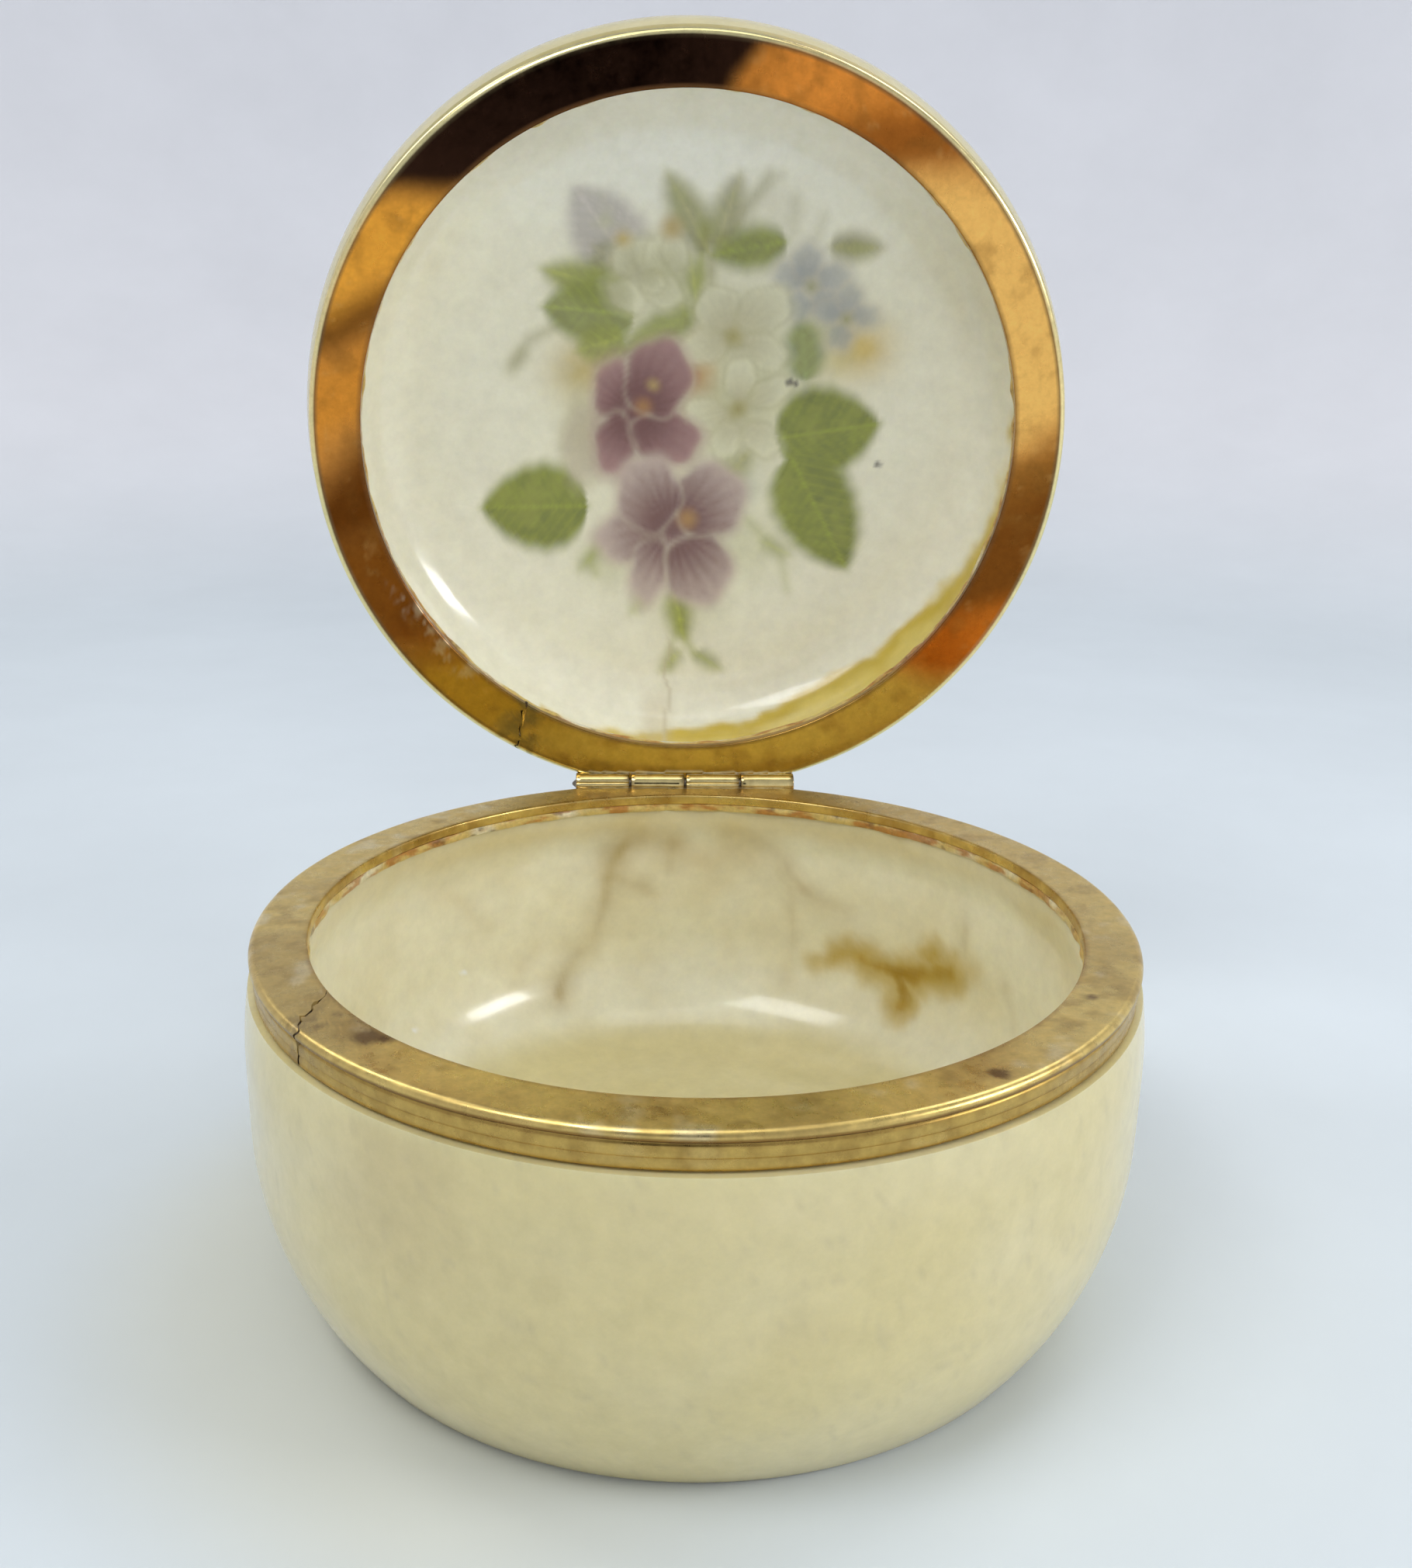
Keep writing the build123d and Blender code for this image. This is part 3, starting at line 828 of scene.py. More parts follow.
# centre, radius, colour
EYES = (
    ((16.7, -18.7), 0.6, OLIVE),
    ((21.8, -14.5), 0.6, OLIVE),
    ((6.2, -11.8), 1.1, (0.36, 0.3, 0.06)),
    ((7.2, -1.8), 1.1, (0.36, 0.3, 0.06)),
    ((-6.2, -2), 0.9, (0.45, 0.2, 0.03)),
    ((0.3, 14.0), 1.2, (0.46, 0.24, 0.05)),
    ((-4.8, -5), 0.4, GOLD),
    ((-9, -24.5), 0.8, GOLD),
    ((-2.5, -26), 1.4, (0.5, 0.36, 0.1)),
)


def leaf_layer(place, base, tip, half_width):
    """Signed distance inside a pointed leaf with a wavy edge, and how light its ribs make it."""
    base, tip = np.array(base, float), np.array(tip, float)
    length = np.linalg.norm(tip - base)
    along = (tip - base) / length
    t = (place - base) @ along / length
    side = (place - base) @ np.array([-along[1], along[0]])
    inner = np.clip(t, 0, 1)
    ragged = 1 + 0.02 * np.sin(inner * length * 2.2 + 1)
    width = half_width * 2.2 * inner**0.5 * (1 - inner) ** 0.75 * ragged
    past_ends = np.maximum(-t, t - 1) * length
    distance = np.where(past_ends > 0, -np.hypot(past_ends, side), (width - np.abs(side)) * 0.8)
    rib = ramp(0.5, 0.05, np.abs(side))
    veins = ramp(0.75, 1.0, np.abs(np.sin((t * length - np.abs(side) * 0.8) * 1.9)))
    return distance, 0.55 * rib + 0.25 * veins + 0.18 * (side > 0)


def petal_layer(place, centre, radii, turn):
    """Signed distance inside a rounded petal with a slightly ruffled rim."""
    a = math.radians(turn)
    rel = place - np.array(centre, float)
    u = (rel[:, 0] * math.cos(a) + rel[:, 1] * math.sin(a)) / radii[0]
    w = (-rel[:, 0] * math.sin(a) + rel[:, 1] * math.cos(a)) / radii[1]
    ruffle = 0.05 * np.sin(5 * np.arctan2(w, u) + centre[0])
    return (1 + ruffle - np.hypot(u, w)) * min(radii)


def bouquet(place, soft):
    """Colour and coverage of the print at (x, v) places; soft is the width of its edges in millimetres."""
    flat = np.column_stack([place, np.zeros(len(place))])
    colours = np.ones((len(place), 3)) * (0.6, 0.58, 0.34)
    cover = np.zeros(len(place))
    speckle = noise(flat, 1.0, 20, 3)
    patchy = 0.75 + 0.5 * (noise(flat, 3.0, 21, 3) - 0.3)

    def lay(colour, amount):
        nonlocal colours, cover
        amount = np.clip(amount, 0, 1)
        total = cover + amount * (1 - cover)
        share = np.where(total > 1e-6, amount / np.maximum(total, 1e-6), 0)[:, None]
        colours = colours * (1 - share) + np.asarray(colour) * share
        cover = total

    def edge(distance):
        return ramp(-soft, soft, distance)

    for centre, radii, colour, strength in WASHES:
        rho = np.hypot(*((place - np.array(centre)) / radii).T)
        lay(colour, strength * patchy * np.exp(-1.6 * rho**2))
    for path, width, colour, strength in SPRIGS:
        distance, _ = to_path(place, path)
        lay(colour, strength * edge(width - distance))
    for base, tip, half_width, colour, strength in LEAVES:
        distance, light = leaf_layer(place, base, tip, half_width)
        tone = np.array(colour) * (0.82 + 0.5 * light + 0.5 * (speckle - 0.5))[:, None]
        tone = tint(tone, FRESH, 0.5 * ramp(0.45, 0.7, noise(flat, 4.0, 22)))
        lay(tone, strength * edge(distance))
    for heart, inner, outer, strength, petals in FLOWERS:
        from_heart = away_from(place, heart)
        line = (0.6, 0.52, 0.38) if inner in (PLUM, MAUVE, BLUE) else (0.4, 0.37, 0.16)
        for x, v, half_length, half_width, turn in petals:
            distance = petal_layer(place, (x, v), (half_length, half_width), turn)
            reach = math.hypot(x - heart[0], v - heart[1]) + min(half_length, half_width)
            streaks = 0.16 * np.sin(9 * np.arctan2(place[:, 1] - heart[1], place[:, 0] - heart[0]) * 3)
            fade = ramp(0.2, 1.1, from_heart / reach + streaks * (speckle - 0.3))
            tone = tint(np.ones((len(place), 3)) * inner, outer, fade)
            tone = tint(tone, np.array(outer) * 1.15, 0.5 * fade * ramp(1.4, 0.15, distance))
            outline = ramp(0.7, 0.0, np.abs(distance))
            tone = tint(tone, line, 0.45 * outline)
            lay(tone, strength * edge(distance))
    for centre, radius, colour in EYES:
        distance = radius - away_from(place, centre)
        lay(colour, 0.85 * edge(distance))
    return colours, cover


def paint_lid(points):
    coat = stone_base(points, 0.75)
    r, angle = polar(points)
    d = points[:, 2]
    ceiling_d = lid_height - lid_dome_r + np.sqrt((lid_dome_r - lid_crown) ** 2 - np.minimum(r, 44.0) ** 2)
    inside = (r < lid_cavity_r + 0.6) & (d < ceiling_d + 1.2) & (d > rim_d - 0.1)
    # the inside is painted paler: painted light for the glow that comes through the stone
    coat.add(LID_INSIDE_PAINTED_GLOW, 0.85 * inside)
    # light that comes through the stone near the free edge
    coat.add((1.0, 0.99, 0.88), 0.8 * inside * ramp(-18, -38, points[:, 1]))
    # the print shows through the stone, blurred and paler
    print_colours, cover = bouquet(points[:, :2], 1.25)
    through = cover * inside * ramp(42, 38, r)
    coat.add(print_colours, 0.95 * through)
    # old glue along the lower right of the rim
    sweep = turn_from(angle, 52)
    width = 1.9 * ramp(45, 8, np.abs(sweep)) + 0.7 * ramp(75, 55, np.abs(sweep + 6))
    from_lip = (lid_cavity_r + 0.3 - r) + 2.2 * (noise(points, 5.0, 12) - 0.5)
    glue = inside * ramp(width + 0.5, width - 0.7, from_lip) * (np.abs(sweep + 6) < 72)
    coat.add((0.74, 0.56, 0.06), 0.85 * glue)
    coat.add((0.58, 0.4, 0.02), 0.6 * glue * ramp(1.2, 0.2, np.abs(from_lip - width + 0.6)))
    # a hairline crack that runs down to the hinge, with a stain beside it
    crack = np.abs(points[:, 0] + 2.5 + 0.5 * np.sin(points[:, 1] * 0.9))
    lower = inside * ramp(30, 33, points[:, 1])
    coat.add((0.62, 0.55, 0.36), 0.5 * lower * ramp(0.45, 0.1, crack))
    beside = ramp(3.4, 0.6, np.abs(points[:, 0] + 4.0)) * ramp(37, 43, points[:, 1])
    coat.add((0.66, 0.56, 0.34), 0.4 * inside * beside)
    for spot, size in (((14.3, -5.7), 0.45), ((15.2, -5.5), 0.3), ((27.3, 5.5), 0.35)):
        distance = away_from(points[:, :2], spot)
        coat.add((0.1, 0.08, 0.07), inside * 0.8 * ramp(size + 0.35, size * 0.5, distance))
    # the outside is greyer on its wall, with a faint chalky chip at the free edge
    wall = ~inside & (r > 44) & (d > shoulder_d)
    coat.add((0.62, 0.55, 0.31), 0.8 * wall)
    chip = np.linalg.norm((points - np.array([-1.5, -50.5, 12.0])) / (3.5, 2.0, 3.0), axis=1)
    return coat.add((0.8, 0.77, 0.6), 0.5 * ramp(1.2, 0.5, chip + 0.9 * (noise(points, 1.3, 13) - 0.5)))


def shape_lid(points):
    """The shallow chip in the free edge of the lid."""
    chip = np.linalg.norm((points - np.array([-1.5, -50.8, 12.0])) / (3.2, 3.0, 3.0), axis=1)
    return pushed_out(points, -0.12 * ramp(1.2, 0.5, chip) * (0.6 + 0.8 * noise(points, 1.2, 14)))


# ================================================================ brass
BRASS = (0.78, 0.57, 0.19)
COPPER = (0.62, 0.25, 0.05)


def crooked_seam(name, lean):
    """Turns the straight butt joint into a crooked one; lean is its slant in degrees over the flange."""

    def drift(angles, r, d):
        share = (r - (flange_inner_r[name] + collar_r) / 2) / (collar_r - flange_inner_r[name])
        jag = 0.5 * np.sin(r * 2.7) + 0.3 * np.sin(r * 6.1 + d)
        near = ramp(18, 2, np.abs(turn_from(angles, seam_angle[name])))
        return near * (lean * share + jag)

    return drift


SEAM_LEAN = {"bowl": 8.0, "lid": -3.0}
SEAM_HALF_ANGLE = 0.2


def collar_angles(name):
    """All round from one side of the seam to the other, closer together near the seam."""
    start, end = seam_angle[name] + SEAM_HALF_ANGLE, seam_angle[name] + 360 - SEAM_HALF_ANGLE
    near = np.linspace(0, 6, 25)
    middle = np.linspace(start + 6, end - 6, 560)
    return np.concatenate([start + near[:-1], middle, end - near[::-1][1:]])


def paint_bowl_collar(points):
    r, angle = polar(points)
    d = points[:, 2]
    coat = Coat(points, BRASS)
    coat.patches((0.6, 0.42, 0.14), 0.75, 9.0, 30, 4, 0.4, 0.68)
    coat.patches((0.46, 0.3, 0.09), 0.6, 2.2, 31, 4, 0.52, 0.72)
    coat.patches((0.86, 0.74, 0.46), 0.5, 4.0, 32, 3, 0.6, 0.75)
    back_right = ramp(60, 10, np.abs(turn_from(angle, 35)))
    coat.add((0.62, 0.42, 0.14), 0.3 * back_right)
    for at, at_r, size in ((-136, 45.2, 1.9), (-56, 47.6, 1.2), (-134, 44.6, 1.0), (-30, 46, 0.7)):
        a = math.radians(at)
        distance = np.hypot(points[:, 0] - at_r * math.cos(a), points[:, 1] - at_r * math.sin(a))
        ragged = distance + 1.6 * (noise(points, 1.6, 33) - 0.5)
        coat.add((0.17, 0.09, 0.035), 0.85 * ramp(size * 1.3, size * 0.5, ragged) * (d < under_d))
    # under the rounded edge the brass mirrors the shade below it, which is painted here as brown
    under_edge = ramp(face_d + 0.5, face_d + 0.85, d) * (r > skirt_r - 0.1) * (d < under_d)
    coat.add((0.24, 0.12, 0.03), 0.85 * under_edge)
    # a painted shadow line in the groove under the rounded edge; the crease is darkened in patches and the
    # hem along its edge
    blotches = noise(points, 3.0, 34, 3)
    groove = ramp(0.45, 0.1, np.abs(d - under_d - 0.05)) * (r > skirt_r - 0.3)
    coat.add((0.07, 0.028, 0.012), 0.9 * groove)
    crease = ramp(0.22, 0.05, np.abs(d - crease_d)) * (r > skirt_r - 0.3)
    coat.add((0.22, 0.13, 0.05), 0.75 * crease * ramp(0.25, 0.6, blotches))
    hem = ramp(skirt_end_d - 0.4, skirt_end_d - 0.1, d) * (r > skirt_r - 0.5)
    coat.add((0.14, 0.07, 0.03), 0.85 * hem)
    # the skirt is painted darker and browner than the face, and mottled: painted reflection of the darker
    # surroundings it mirrors
    skirt = (d > under_d) * (r > skirt_r - 0.3)
    coat.add((0.52, 0.34, 0.09), 0.85 * skirt)
    coat.patches((0.36, 0.22, 0.06), 0.55 * skirt, 1.5, 35, 4, 0.45, 0.7)
    grime = ramp(9, 0, np.abs(turn_from(angle, seam_angle["bowl"] + 3)))
    coat.patches((0.25, 0.16, 0.07), 0.5 * grime, 1.2, 36, 4, 0.45, 0.65)
    inner = ramp(flange_inner_r["bowl"] + 0.5, flange_inner_r["bowl"] + 0.1, r)
    return coat.add((0.44, 0.26, 0.07), 0.7 * inner * ramp(0.3, 0.7, blotches))


# Bands round the lid's collar: painted reflections with some patina, which follow what its polished face
# mirrors in the photo:
# angle, half-width in degrees, softness in degrees, colour, strength.
LID_REFLECTIONS_AND_PATINA = (
    (-71, 12, 3, (0.88, 0.31, 0.045), 1.0),
    (-56, 8, 7, (0.34, 0.1, 0.012), 0.9),
    (-24, 23, 6, (1.0, 0.55, 0.14), 1.0),
    (6, 5, 4, (0.34, 0.13, 0.02), 0.9),
    (20, 13, 6, (0.16, 0.045, 0.004), 0.9),
    (36, 7, 5, (0.62, 0.15, 0.01), 0.9),
    (52, 8, 6, (0.72, 0.47, 0.1), 0.95),
    (90, 34, 9, (0.64, 0.43, 0.09), 0.95),
    (128, 12, 8, (0.5, 0.29, 0.03), 0.9),
    (154, 13, 8, (0.18, 0.05, 0.003), 0.9),
    (169, 6, 5, (0.12, 0.032, 0.003), 0.95),
    (-172, 8, 6, (0.78, 0.29, 0.035), 0.95),
    (-158, 5, 4, (0.2, 0.07, 0.008), 0.85),
    (-146, 9, 5, (1.0, 0.43, 0.05), 0.95),
    (-110, 27, 3, (0.035, 0.015, 0.008), 1.0),
)


def paint_lid_collar(points):
    r, angle = polar(points)
    d = points[:, 2]
    # the bands lean with the radius, as a reflection does
    lean = 1.3 * (r - 46) * np.sin(np.radians(angle * 2 + 40))
    leaning = angle + lean + 7 * (noise(points, 9.0, 40, 3) - 0.5)
    coat = Coat(points, COPPER)
    for at, half_width, soft, colour, strength in LID_REFLECTIONS_AND_PATINA:
        away = np.abs(turn_from(leaning, at))
        coat.add(colour, strength * ramp(half_width + soft, half_width - soft, away))
    clear = ramp(0.05, 0.3, coat.colours[:, 0])
    coat.patches((0.26, 0.11, 0.02), 0.35 * clear, 2.5, 41, 4, 0.5, 0.75)
    coat.patches((0.8, 0.46, 0.14), 0.15 * clear, 1.4, 42, 4, 0.62, 0.78)
    # painted highlight: the rounded edge is painted pale gold where it catches the light
    edge = ramp(collar_r - flange_edge - 0.15, collar_r - flange_edge + 0.3, r) * (d < under_d)
    coat.add((0.95, 0.84, 0.42), 0.85 * edge)
    line = ramp(0.3, 0.05, np.abs(r - collar_r + flange_edge + 0.1)) * (d < face_d + 0.3)
    coat.add((0.07, 0.03, 0.015), 0.75 * line * ramp(200, 100, np.abs(turn_from(angle, -120))))
    inner = ramp(flange_inner_r["lid"] + 0.45, flange_inner_r["lid"] + 0.1, r)
    coat.add((0.2, 0.09, 0.03), 0.6 * inner)
    crack = np.abs(turn_from(angle, seam_angle["lid"]))
    stain = ramp(7, 1, crack) * ramp(0.42, 0.6, noise(points, 1.8, 43, 4))
    coat.add((0.16, 0.13, 0.05), 0.65 * stain * (d < under_d))
    chalk = ramp(16, 4, np.abs(turn_from(angle, 142))) * ramp(46.5, 44.5, r)
    coat.patches((0.72, 0.62, 0.42), 0.45 * chalk, 1.1, 44, 4, 0.5, 0.66)
    hem = ramp(under_d - 0.1, under_d + 0.3, d) * (r > skirt_r - 0.5)
    return coat.add((0.62, 0.46, 0.2), 0.7 * hem)


def paint_seam(points):
    coat = Coat(points, (0.09, 0.055, 0.03))
    return coat.patches((0.42, 0.33, 0.2), 0.8, 0.7, 45, 3, 0.5, 0.7)


def shape_seam(points):
    """Solder that has sunk unevenly into the butt joint."""
    sunk = 0.04 + 0.12 * noise(points, 0.9, 46)
    points = pushed_out(points, -sunk * ramp(face_d + 0.2, face_d + 0.6, points[:, 2]))
    points[:, 2] += sunk * ramp(face_d + 0.4, face_d, points[:, 2])
    return points


def shape_collar(points):
    """Slight waves in the rolled brass."""
    points = pushed_out(points, 0.05 * (noise(points, 14.0, 47, 2) - 0.5))
    points[:, 2] += 0.05 * (noise(points, 10.0, 48, 2) - 0.5) * ramp(skirt_end_d, face_d, points[:, 2])
    return points


def paint_cement(points):
    """Amber and chalk bedding with rust that has bled out of the brass, worst round the back."""
    coat = Coat(points, (0.66, 0.48, 0.15))
    coat.patches((0.82, 0.76, 0.56), 0.8, 6.0, 50, 3, 0.5, 0.7)
    rust = ramp(0.42, 0.6, noise(points * (1, 1, 3), 2.6, 51, 4)) * ramp(-30, 25, points[:, 1])
    coat.add((0.44, 0.17, 0.02), 0.85 * rust)
    return coat.patches((0.12, 0.05, 0.015), 0.6, 1.2, 52, 4, 0.62, 0.74)


def shape_cement(points):
    """Lets the bedding squeeze out unevenly past the brass."""
    r, _ = polar(points)
    inner = ramp(flange_inner_r["bowl"] + 1.2, flange_inner_r["bowl"] + 0.1, r)
    return pushed_out(points, -0.75 * inner * (noise(points, 2.4, 53, 3) - 0.42))


# ================================================================ hinge
def barrel_outline(start, end, outer_r, inner_r, chamfer):
    """Closed (radius, position) section of a tube with rounded ends."""
    points = [(inner_r, start), (outer_r - chamfer, start), (outer_r - 0.3 * chamfer, start + 0.3 * chamfer)]
    points += [(outer_r, start + chamfer + (end - start - 2 * chamfer) * i / 12) for i in range(13)]
    points += [(outer_r - 0.3 * chamfer, end - 0.3 * chamfer), (outer_r - chamfer, end), (inner_r, end)]
    return np.array(points)


def make_knuckle(index, half):
    """A rolled tube, with the line where its sheet closes and a few dents."""
    node = f"{half.name}_knuckle_{index + 1}"
    low, high = (1000 * c.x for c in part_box(node))
    outline = barrel_outline(low, high, knuckle_r, pin_r + 0.05, 0.2)
    count, rows = 72, len(outline)
    a = np.radians(np.arange(count) * 360 / count)
    slit_at = math.radians(200 if half is bowl else 160)
    away = np.abs((a - slit_at + math.pi) % (2 * math.pi) - math.pi)
    slit = 0.12 * ramp(0.12, 0.0, away)
    r = outline[None, :, 0] - slit[:, None] * (outline[None, :, 0] > pin_r + 0.3)
    x = np.ones((count, 1)) * outline[None, :, 1]
    points = np.stack([x, hinge_y + r * np.cos(a)[:, None], r * np.sin(a)[:, None]], 2).reshape(-1, 3)
    dents = 0.05 * (noise(points, 2.5, 60 + index, 2) - 0.5)
    points[:, 2] += dents
    faces = grid_faces(count, rows, round_rows=True)
    if half is bowl:
        faces = flipped(faces)
    coat = Coat(points, (0.88, 0.7, 0.31))
    coat.patches((0.55, 0.38, 0.14), 0.4, 1.2, 61, 4, 0.5, 0.7)
    # painted reflection: the underside of the tube is painted dark brown for the shade it mirrors below it
    around = half.to_frame(points)[:, 2] / MM - axis_z
    under = ramp(0.1, -0.45, around + 0.35 * (noise(points, 1.5, 62) - 0.5))
    coat.add((0.26, 0.13, 0.04), 0.8 * under)
    ends = np.minimum(points[:, 0] - low, high - points[:, 0])
    coat.add((0.16, 0.08, 0.03), 0.7 * ramp(0.5, 0.05, ends))
    piece = make_piece(f"{node}_rolled", points, faces, half, coat.colours)
    finish_piece(piece, knuckle_brass, half.name, "hinge_brass", node)


def make_pin():
    low, high = (1000 * c.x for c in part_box("hinge_pin"))
    tip = 0.6
    outline = [(0.0, low), (0.25, low + 0.12), (pin_r * 0.8, low + tip), (pin_r, low + tip + 0.3)]
    outline += [(pin_r, x) for x in np.linspace(low + tip + 1, high - 0.25, 24)]
    outline += [(pin_r * 0.75, high), (0.0, high)]
    count, rows = 32, len(outline) - 2
    a = np.radians(np.arange(count) * 360 / count)
    body = np.array(outline[1:-1])
    grid = [[(x, hinge_y + r * math.cos(t), r * math.sin(t)) for r, x in body] for t in a]
    points = np.vstack([np.array(grid).reshape(-1, 3), [(low, hinge_y, 0), (high, hinge_y, 0)]])
    faces = flipped(grid_faces(count, rows, ends=(len(points) - 2, len(points) - 1)))
    piece = make_piece("hinge_pin_wire", points, faces, bowl)
    finish_piece(piece, pin_steel, "bowl", "pin_steel", "hinge_pin")


def soften_solder(node):
    """Rounds a CAD solder fillet so that it looks as if it has flowed."""
    piece = frame["nodes"][node]
    remesh = piece.modifiers.new("flow", "REMESH")
    remesh.mode = "VOXEL"
    remesh.voxel_size = 0.12 * MM
    remesh.use_smooth_shade = True
    smooth = piece.modifiers.new("settle", "SMOOTH")
    smooth.factor = 0.5
    smooth.iterations = 14
    piece.data.materials.clear()
    piece.data.materials.append(solder_metal)


# ================================================================ stage, lights and camera
def make_stage():
    """A pale dish: a flat floor that sweeps up into a wall, the same all round."""
    flat_r, sweep_r, wall_top = 420.0, 420.0, 1500.0
    sides = 96
    outline = Outline(0, 0)
    outline.run((120, 0), 4)
    outline.run((flat_r, 0), 30)
    outline.arc((1, 0), (flat_r + sweep_r, sweep_r), 40)
    outline.run((flat_r + sweep_r, wall_top), 120)
    grid = ring_points(outline[1:], np.arange(sides) * 360 / sides)
    rows = grid.shape[1]
    points = np.vstack([grid.reshape(-1, 3), [(0, 0, 0)]])
    faces = grid_faces(sides, rows, ends=(len(points) - 1,))
    mesh = bpy.data.meshes.new("backdrop")
    mesh.from_pydata((points * MM).tolist(), [], faces)
    mesh.shade_smooth()
    r, _ = polar(points)
    coat = Coat(points, (0.71, 0.765, 0.8))
    # the wall is painted lighter than the floor: painted light that keeps the top of the backdrop as bright
    # as the floor
    coat.add((0.87, 0.87, 0.9), ramp(380, 700, r + points[:, 2]))
    # light that has come through the stone falls by the left of the foot
    beside_foot = np.hypot(points[:, 0] + 10, points[:, 1] + 6) - foot_r
    coat.add((0.66, 0.64, 0.5), 0.5 * ramp(26, 0, beside_foot) * ramp(20, -35, points[:, 0]))
    add_paint(mesh, coat.colours)
    material, tree, shader = new_material("backdrop_paper")
    mottle(tree, shader, noise_node(tree, 90.0), 0.97, 1.03)
    set_inputs(shader, {"Roughness": 0.6, "Specular IOR Level": 0.25})
    mesh.materials.append(material)
    add_object("backdrop", mesh)


def area_light(name, place, aim, size, watts, colour):
    """A soft rectangular light at place, in millimetres, turned to aim."""
    data = bpy.data.lights.new(name, "AREA")
    data.shape = "RECTANGLE"
    data.size, data.size_y = (s * MM for s in size)
    data.energy = watts
    data.color = colour
    light = add_object(name, data)
    light.location = [c * MM for c in place]
    away = np.array(place, float) - np.array(aim, float)
    yaw = math.atan2(away[1], away[0]) + math.pi / 2
    tilt = math.acos(away[2] / np.linalg.norm(away))
    light.rotation_euler = (tilt, 0, yaw)
    return light


def make_world():
    """Even, slightly cool room light; colours are shown as they are, without a film curve."""
    bpy.context.scene.view_settings.view_transform = "Standard"
    world = bpy.data.worlds.new("room")
    world.use_nodes = True
    bpy.context.scene.world = world
    sky = world.node_tree.nodes["Background"]
    sky.inputs["Color"].default_value = (0.92, 0.97, 1.0, 1)
    sky.inputs["Strength"].default_value = 0.43


def make_dark_card():
    """A dark card that only reflections see, for the darkness round the photographer's lens."""
    half = 40
    x, y, z = (-24, -185, 135)
    corners = [(x + i * half, y, z + k * half) for i, k in ((-1, -1), (1, -1), (1, 1), (-1, 1))]
    mesh = bpy.data.meshes.new("lens_card")
    mesh.from_pydata((np.array(corners) * MM).tolist(), [], [(0, 1, 2, 3)])
    card = add_object("lens_card", mesh)
    material, _, shader = new_material("lens_card")
    set_inputs(shader, {"Base Color": (0.012, 0.01, 0.01, 1), "Roughness": 0.9})
    mesh.materials.append(material)
    card.visible_camera = False
    card.visible_diffuse = False
    card.visible_shadow = False
    card.visible_transmission = False


def make_camera():
    """The photograph's viewpoint, fitted so that both collars' outlines fall where it shows them."""
    place = (-7.12, -171.27, 111.84)
    look_down, heading, roll = (math.radians(a) for a in (17.51, -2.645, 0.955))
    data = bpy.data.cameras.new("camera")
    data.sensor_width = 36.0
    data.lens = 36.69
    data.clip_start = 0.01
    camera = add_object("camera", data)
    turn = Euler((math.pi / 2 - look_down, 0, heading)).to_matrix().to_4x4() @ Matrix.Rotation(roll, 4, "Z")
    camera.matrix_world = Matrix.Translation([c * MM for c in place]) @ turn
    bpy.context.scene.camera = camera


make_camera()
make_world()
make_stage()
area_light("window_right", (530, -170, 300), (0, 0, 40), (220, 120), 1.05, (0.98, 0.99, 1.0))
area_light("window_left", (-250, -210, 590), (0, 0, 30), (300, 200), 1.05, (0.97, 0.99, 1.0))
front = area_light("window_front", (110, -590, 320), (0, 0, 70), (160, 120), 0.3, (0.98, 0.99, 1.0))
front.visible_glossy = False
area_light("room_right", (380, 300, 640), (0, 0, 40), (300, 300), 0.8, (0.98, 0.99, 1.0))
area_light("room_left", (-420, 260, 560), (0, 0, 40), (220, 300), 0.65, (0.97, 0.99, 1.0))
area_light("ceiling", (20, -60, 760), (0, 0, 0), (360, 360), 0.5, (0.98, 0.99, 1.0))
make_dark_card()

# ================================================================ the pieces
knuckle_brass = brass_material("knuckle_brass", (0.08, 0.18), 0.01)
pin_steel = plain_metal("pin_steel", (0.1, 0.08, 0.06), (0.32, 0.28, 0.22), (0.25, 0.45), 0.8)
solder_metal = plain_metal("solder", (0.3, 0.21, 0.09), (0.64, 0.51, 0.26), (0.25, 0.45), 0.9)
seam_solder = brass_material("seam_solder", (0.4, 0.6), 0.03)
bedding = cement_material()

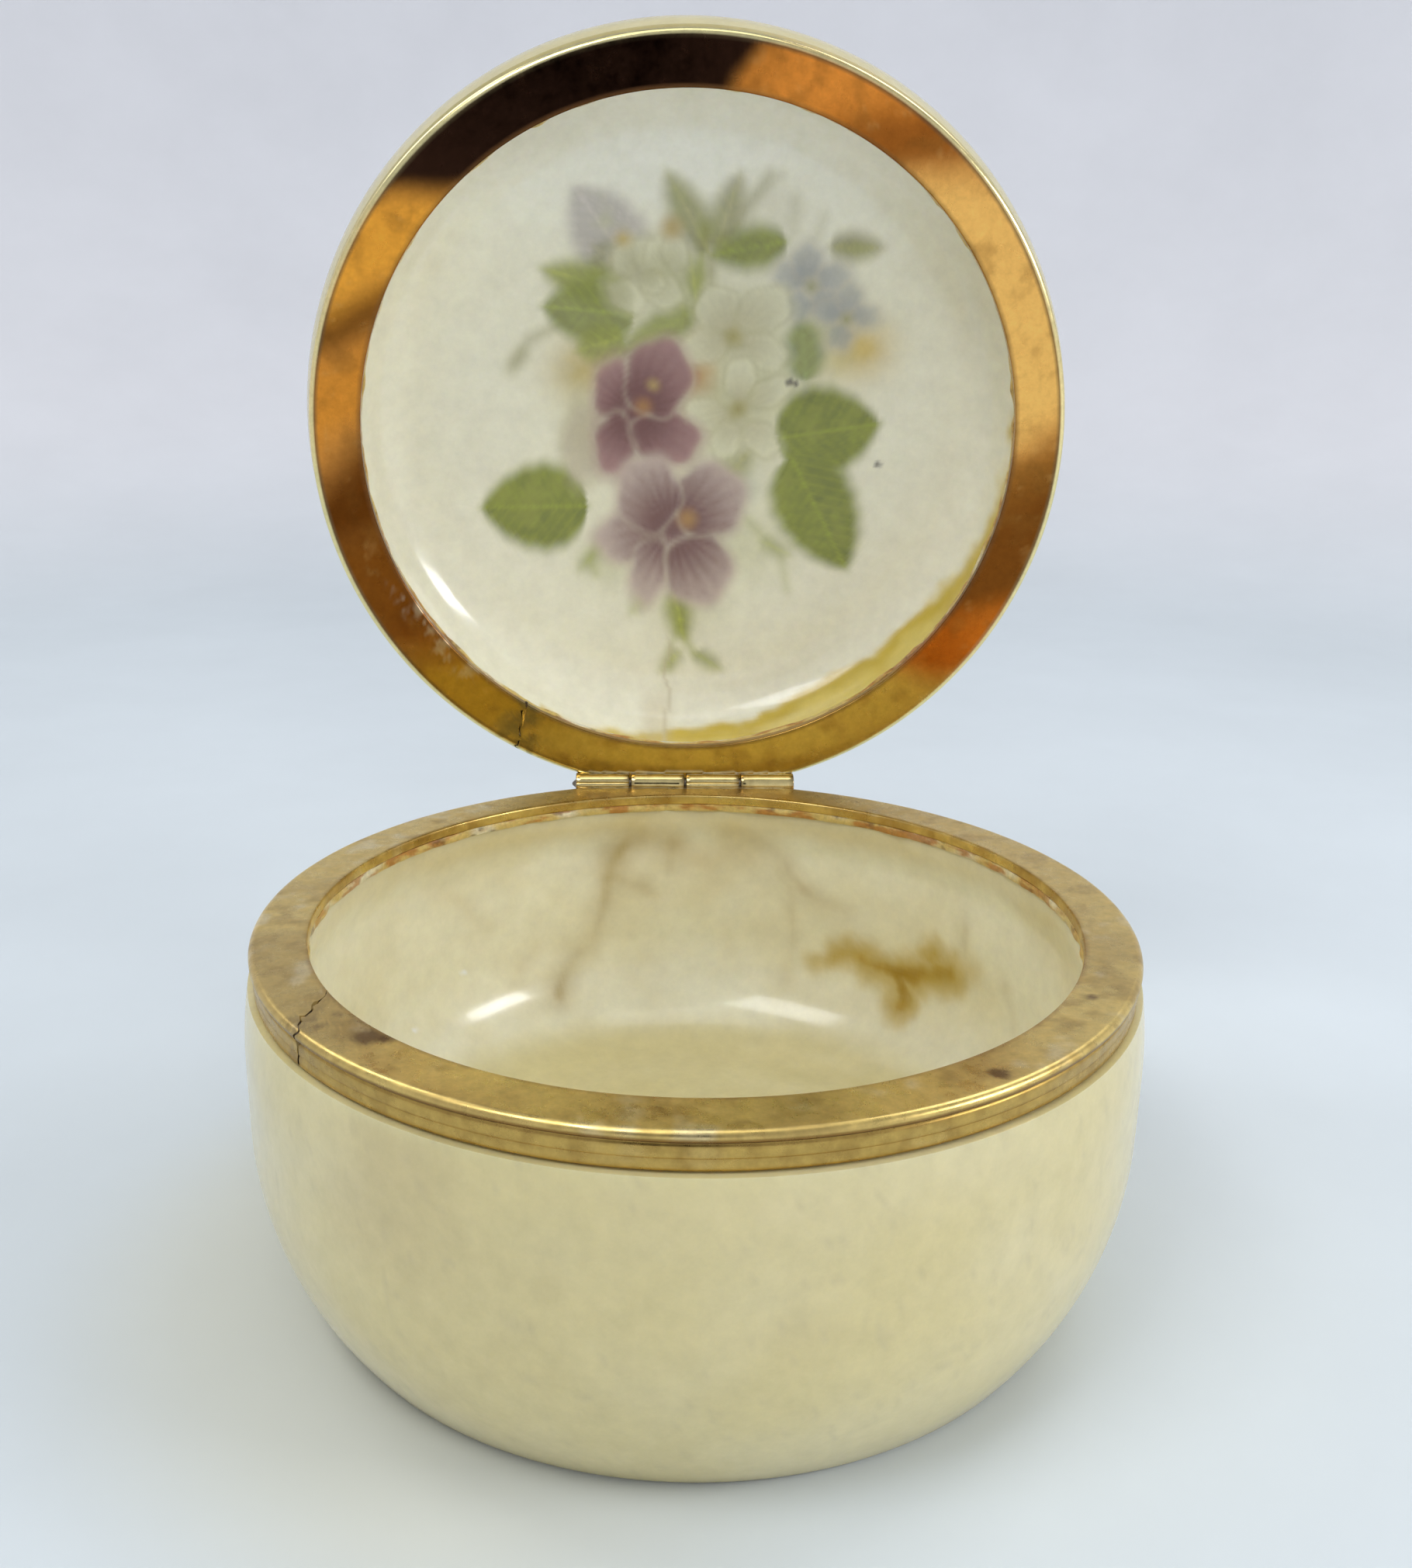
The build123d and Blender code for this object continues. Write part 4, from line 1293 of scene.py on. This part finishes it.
stone_bowl = turned("bowl_stone", bowl_outline(), bowl, 480, shape_bowl, paint_bowl)
finish_piece(stone_bowl, stone_material("alabaster_of_bowl"), "bowl", "alabaster_bowl", "alabaster_bowl")
stone_lid = turned("lid_stone", lid_outline(), lid, 480, shape_lid, paint_lid)
finish_piece(stone_lid, stone_material("alabaster_of_lid"), "lid", "alabaster_lid", "alabaster_lid")


def make_print():
    """The varnished transfer on the dome: a thin disc with the bouquet at full sharpness."""
    film = 0.12
    radii = np.concatenate([np.arange(0.0, print_r - 0.1, 0.3), [print_r]])
    top = [np.array([r, on_dome(lid_dome_r, r) + film]) for r in radii]
    outline = top + [np.array([print_r + 0.1, top[-1][1] - 0.6 * film])]
    outline += [np.array([r, on_dome(lid_dome_r, r) - 0.05]) for r in (print_r, 20.0, 0.0)]

    def paint(points):
        ink, cover = bouquet(points[:, :2], 0.16)
        r, _ = polar(points)
        return stone_base(points, 0.6).add(ink, 0.97 * cover * ramp(print_r, print_r - 3, r))

    piece = turned("floral_print_film", outline, lid, 640, None, paint)
    finish_piece(piece, stone_material("floral_print", 0.03, 0.15), "lid", "floral_print", "floral_transfer")


make_print()

COLLARS = {
    "bowl": (bowl, "bowl_brass", paint_bowl_collar, brass_material("brass_of_bowl", (0.2, 0.42), 0.03)),
    "lid": (lid, "lid_brass", paint_lid_collar, brass_material("brass_of_lid", (0.14, 0.3), 0.05)),
}
for name, (half, slot, paint, brass) in COLLARS.items():
    drift = crooked_seam(name, SEAM_LEAN[name])
    outline = collar_outline(name)
    collar = hoop(f"{name}_brass_collar", outline, half, collar_angles(name), shape_collar, paint, drift)
    cut_channel(collar, half)
    finish_piece(collar, brass, name, slot, f"{name}_collar")
    across = np.linspace(seam_angle[name] - SEAM_HALF_ANGLE, seam_angle[name] + SEAM_HALF_ANGLE, 4)
    seam = hoop(f"{name}_seam_solder", outline, half, across, shape_seam, paint_seam, drift)
    finish_piece(seam, seam_solder, name, "solder", f"{name}_collar_seam")
    all_round = np.linspace(0, 360, 721)
    bed = hoop(f"{name}_bedding", cement_outline(name), half, all_round, shape_cement, paint_cement)
    cut_channel(bed, half)
    finish_piece(bed, bedding, name, "cement", f"{name}_cement")

for index in range(4):
    make_knuckle(index, bowl if index % 2 == 0 else lid)
make_pin()
for node in frame["nodes"]:
    if "hinge_solder" in node:
        soften_solder(node)
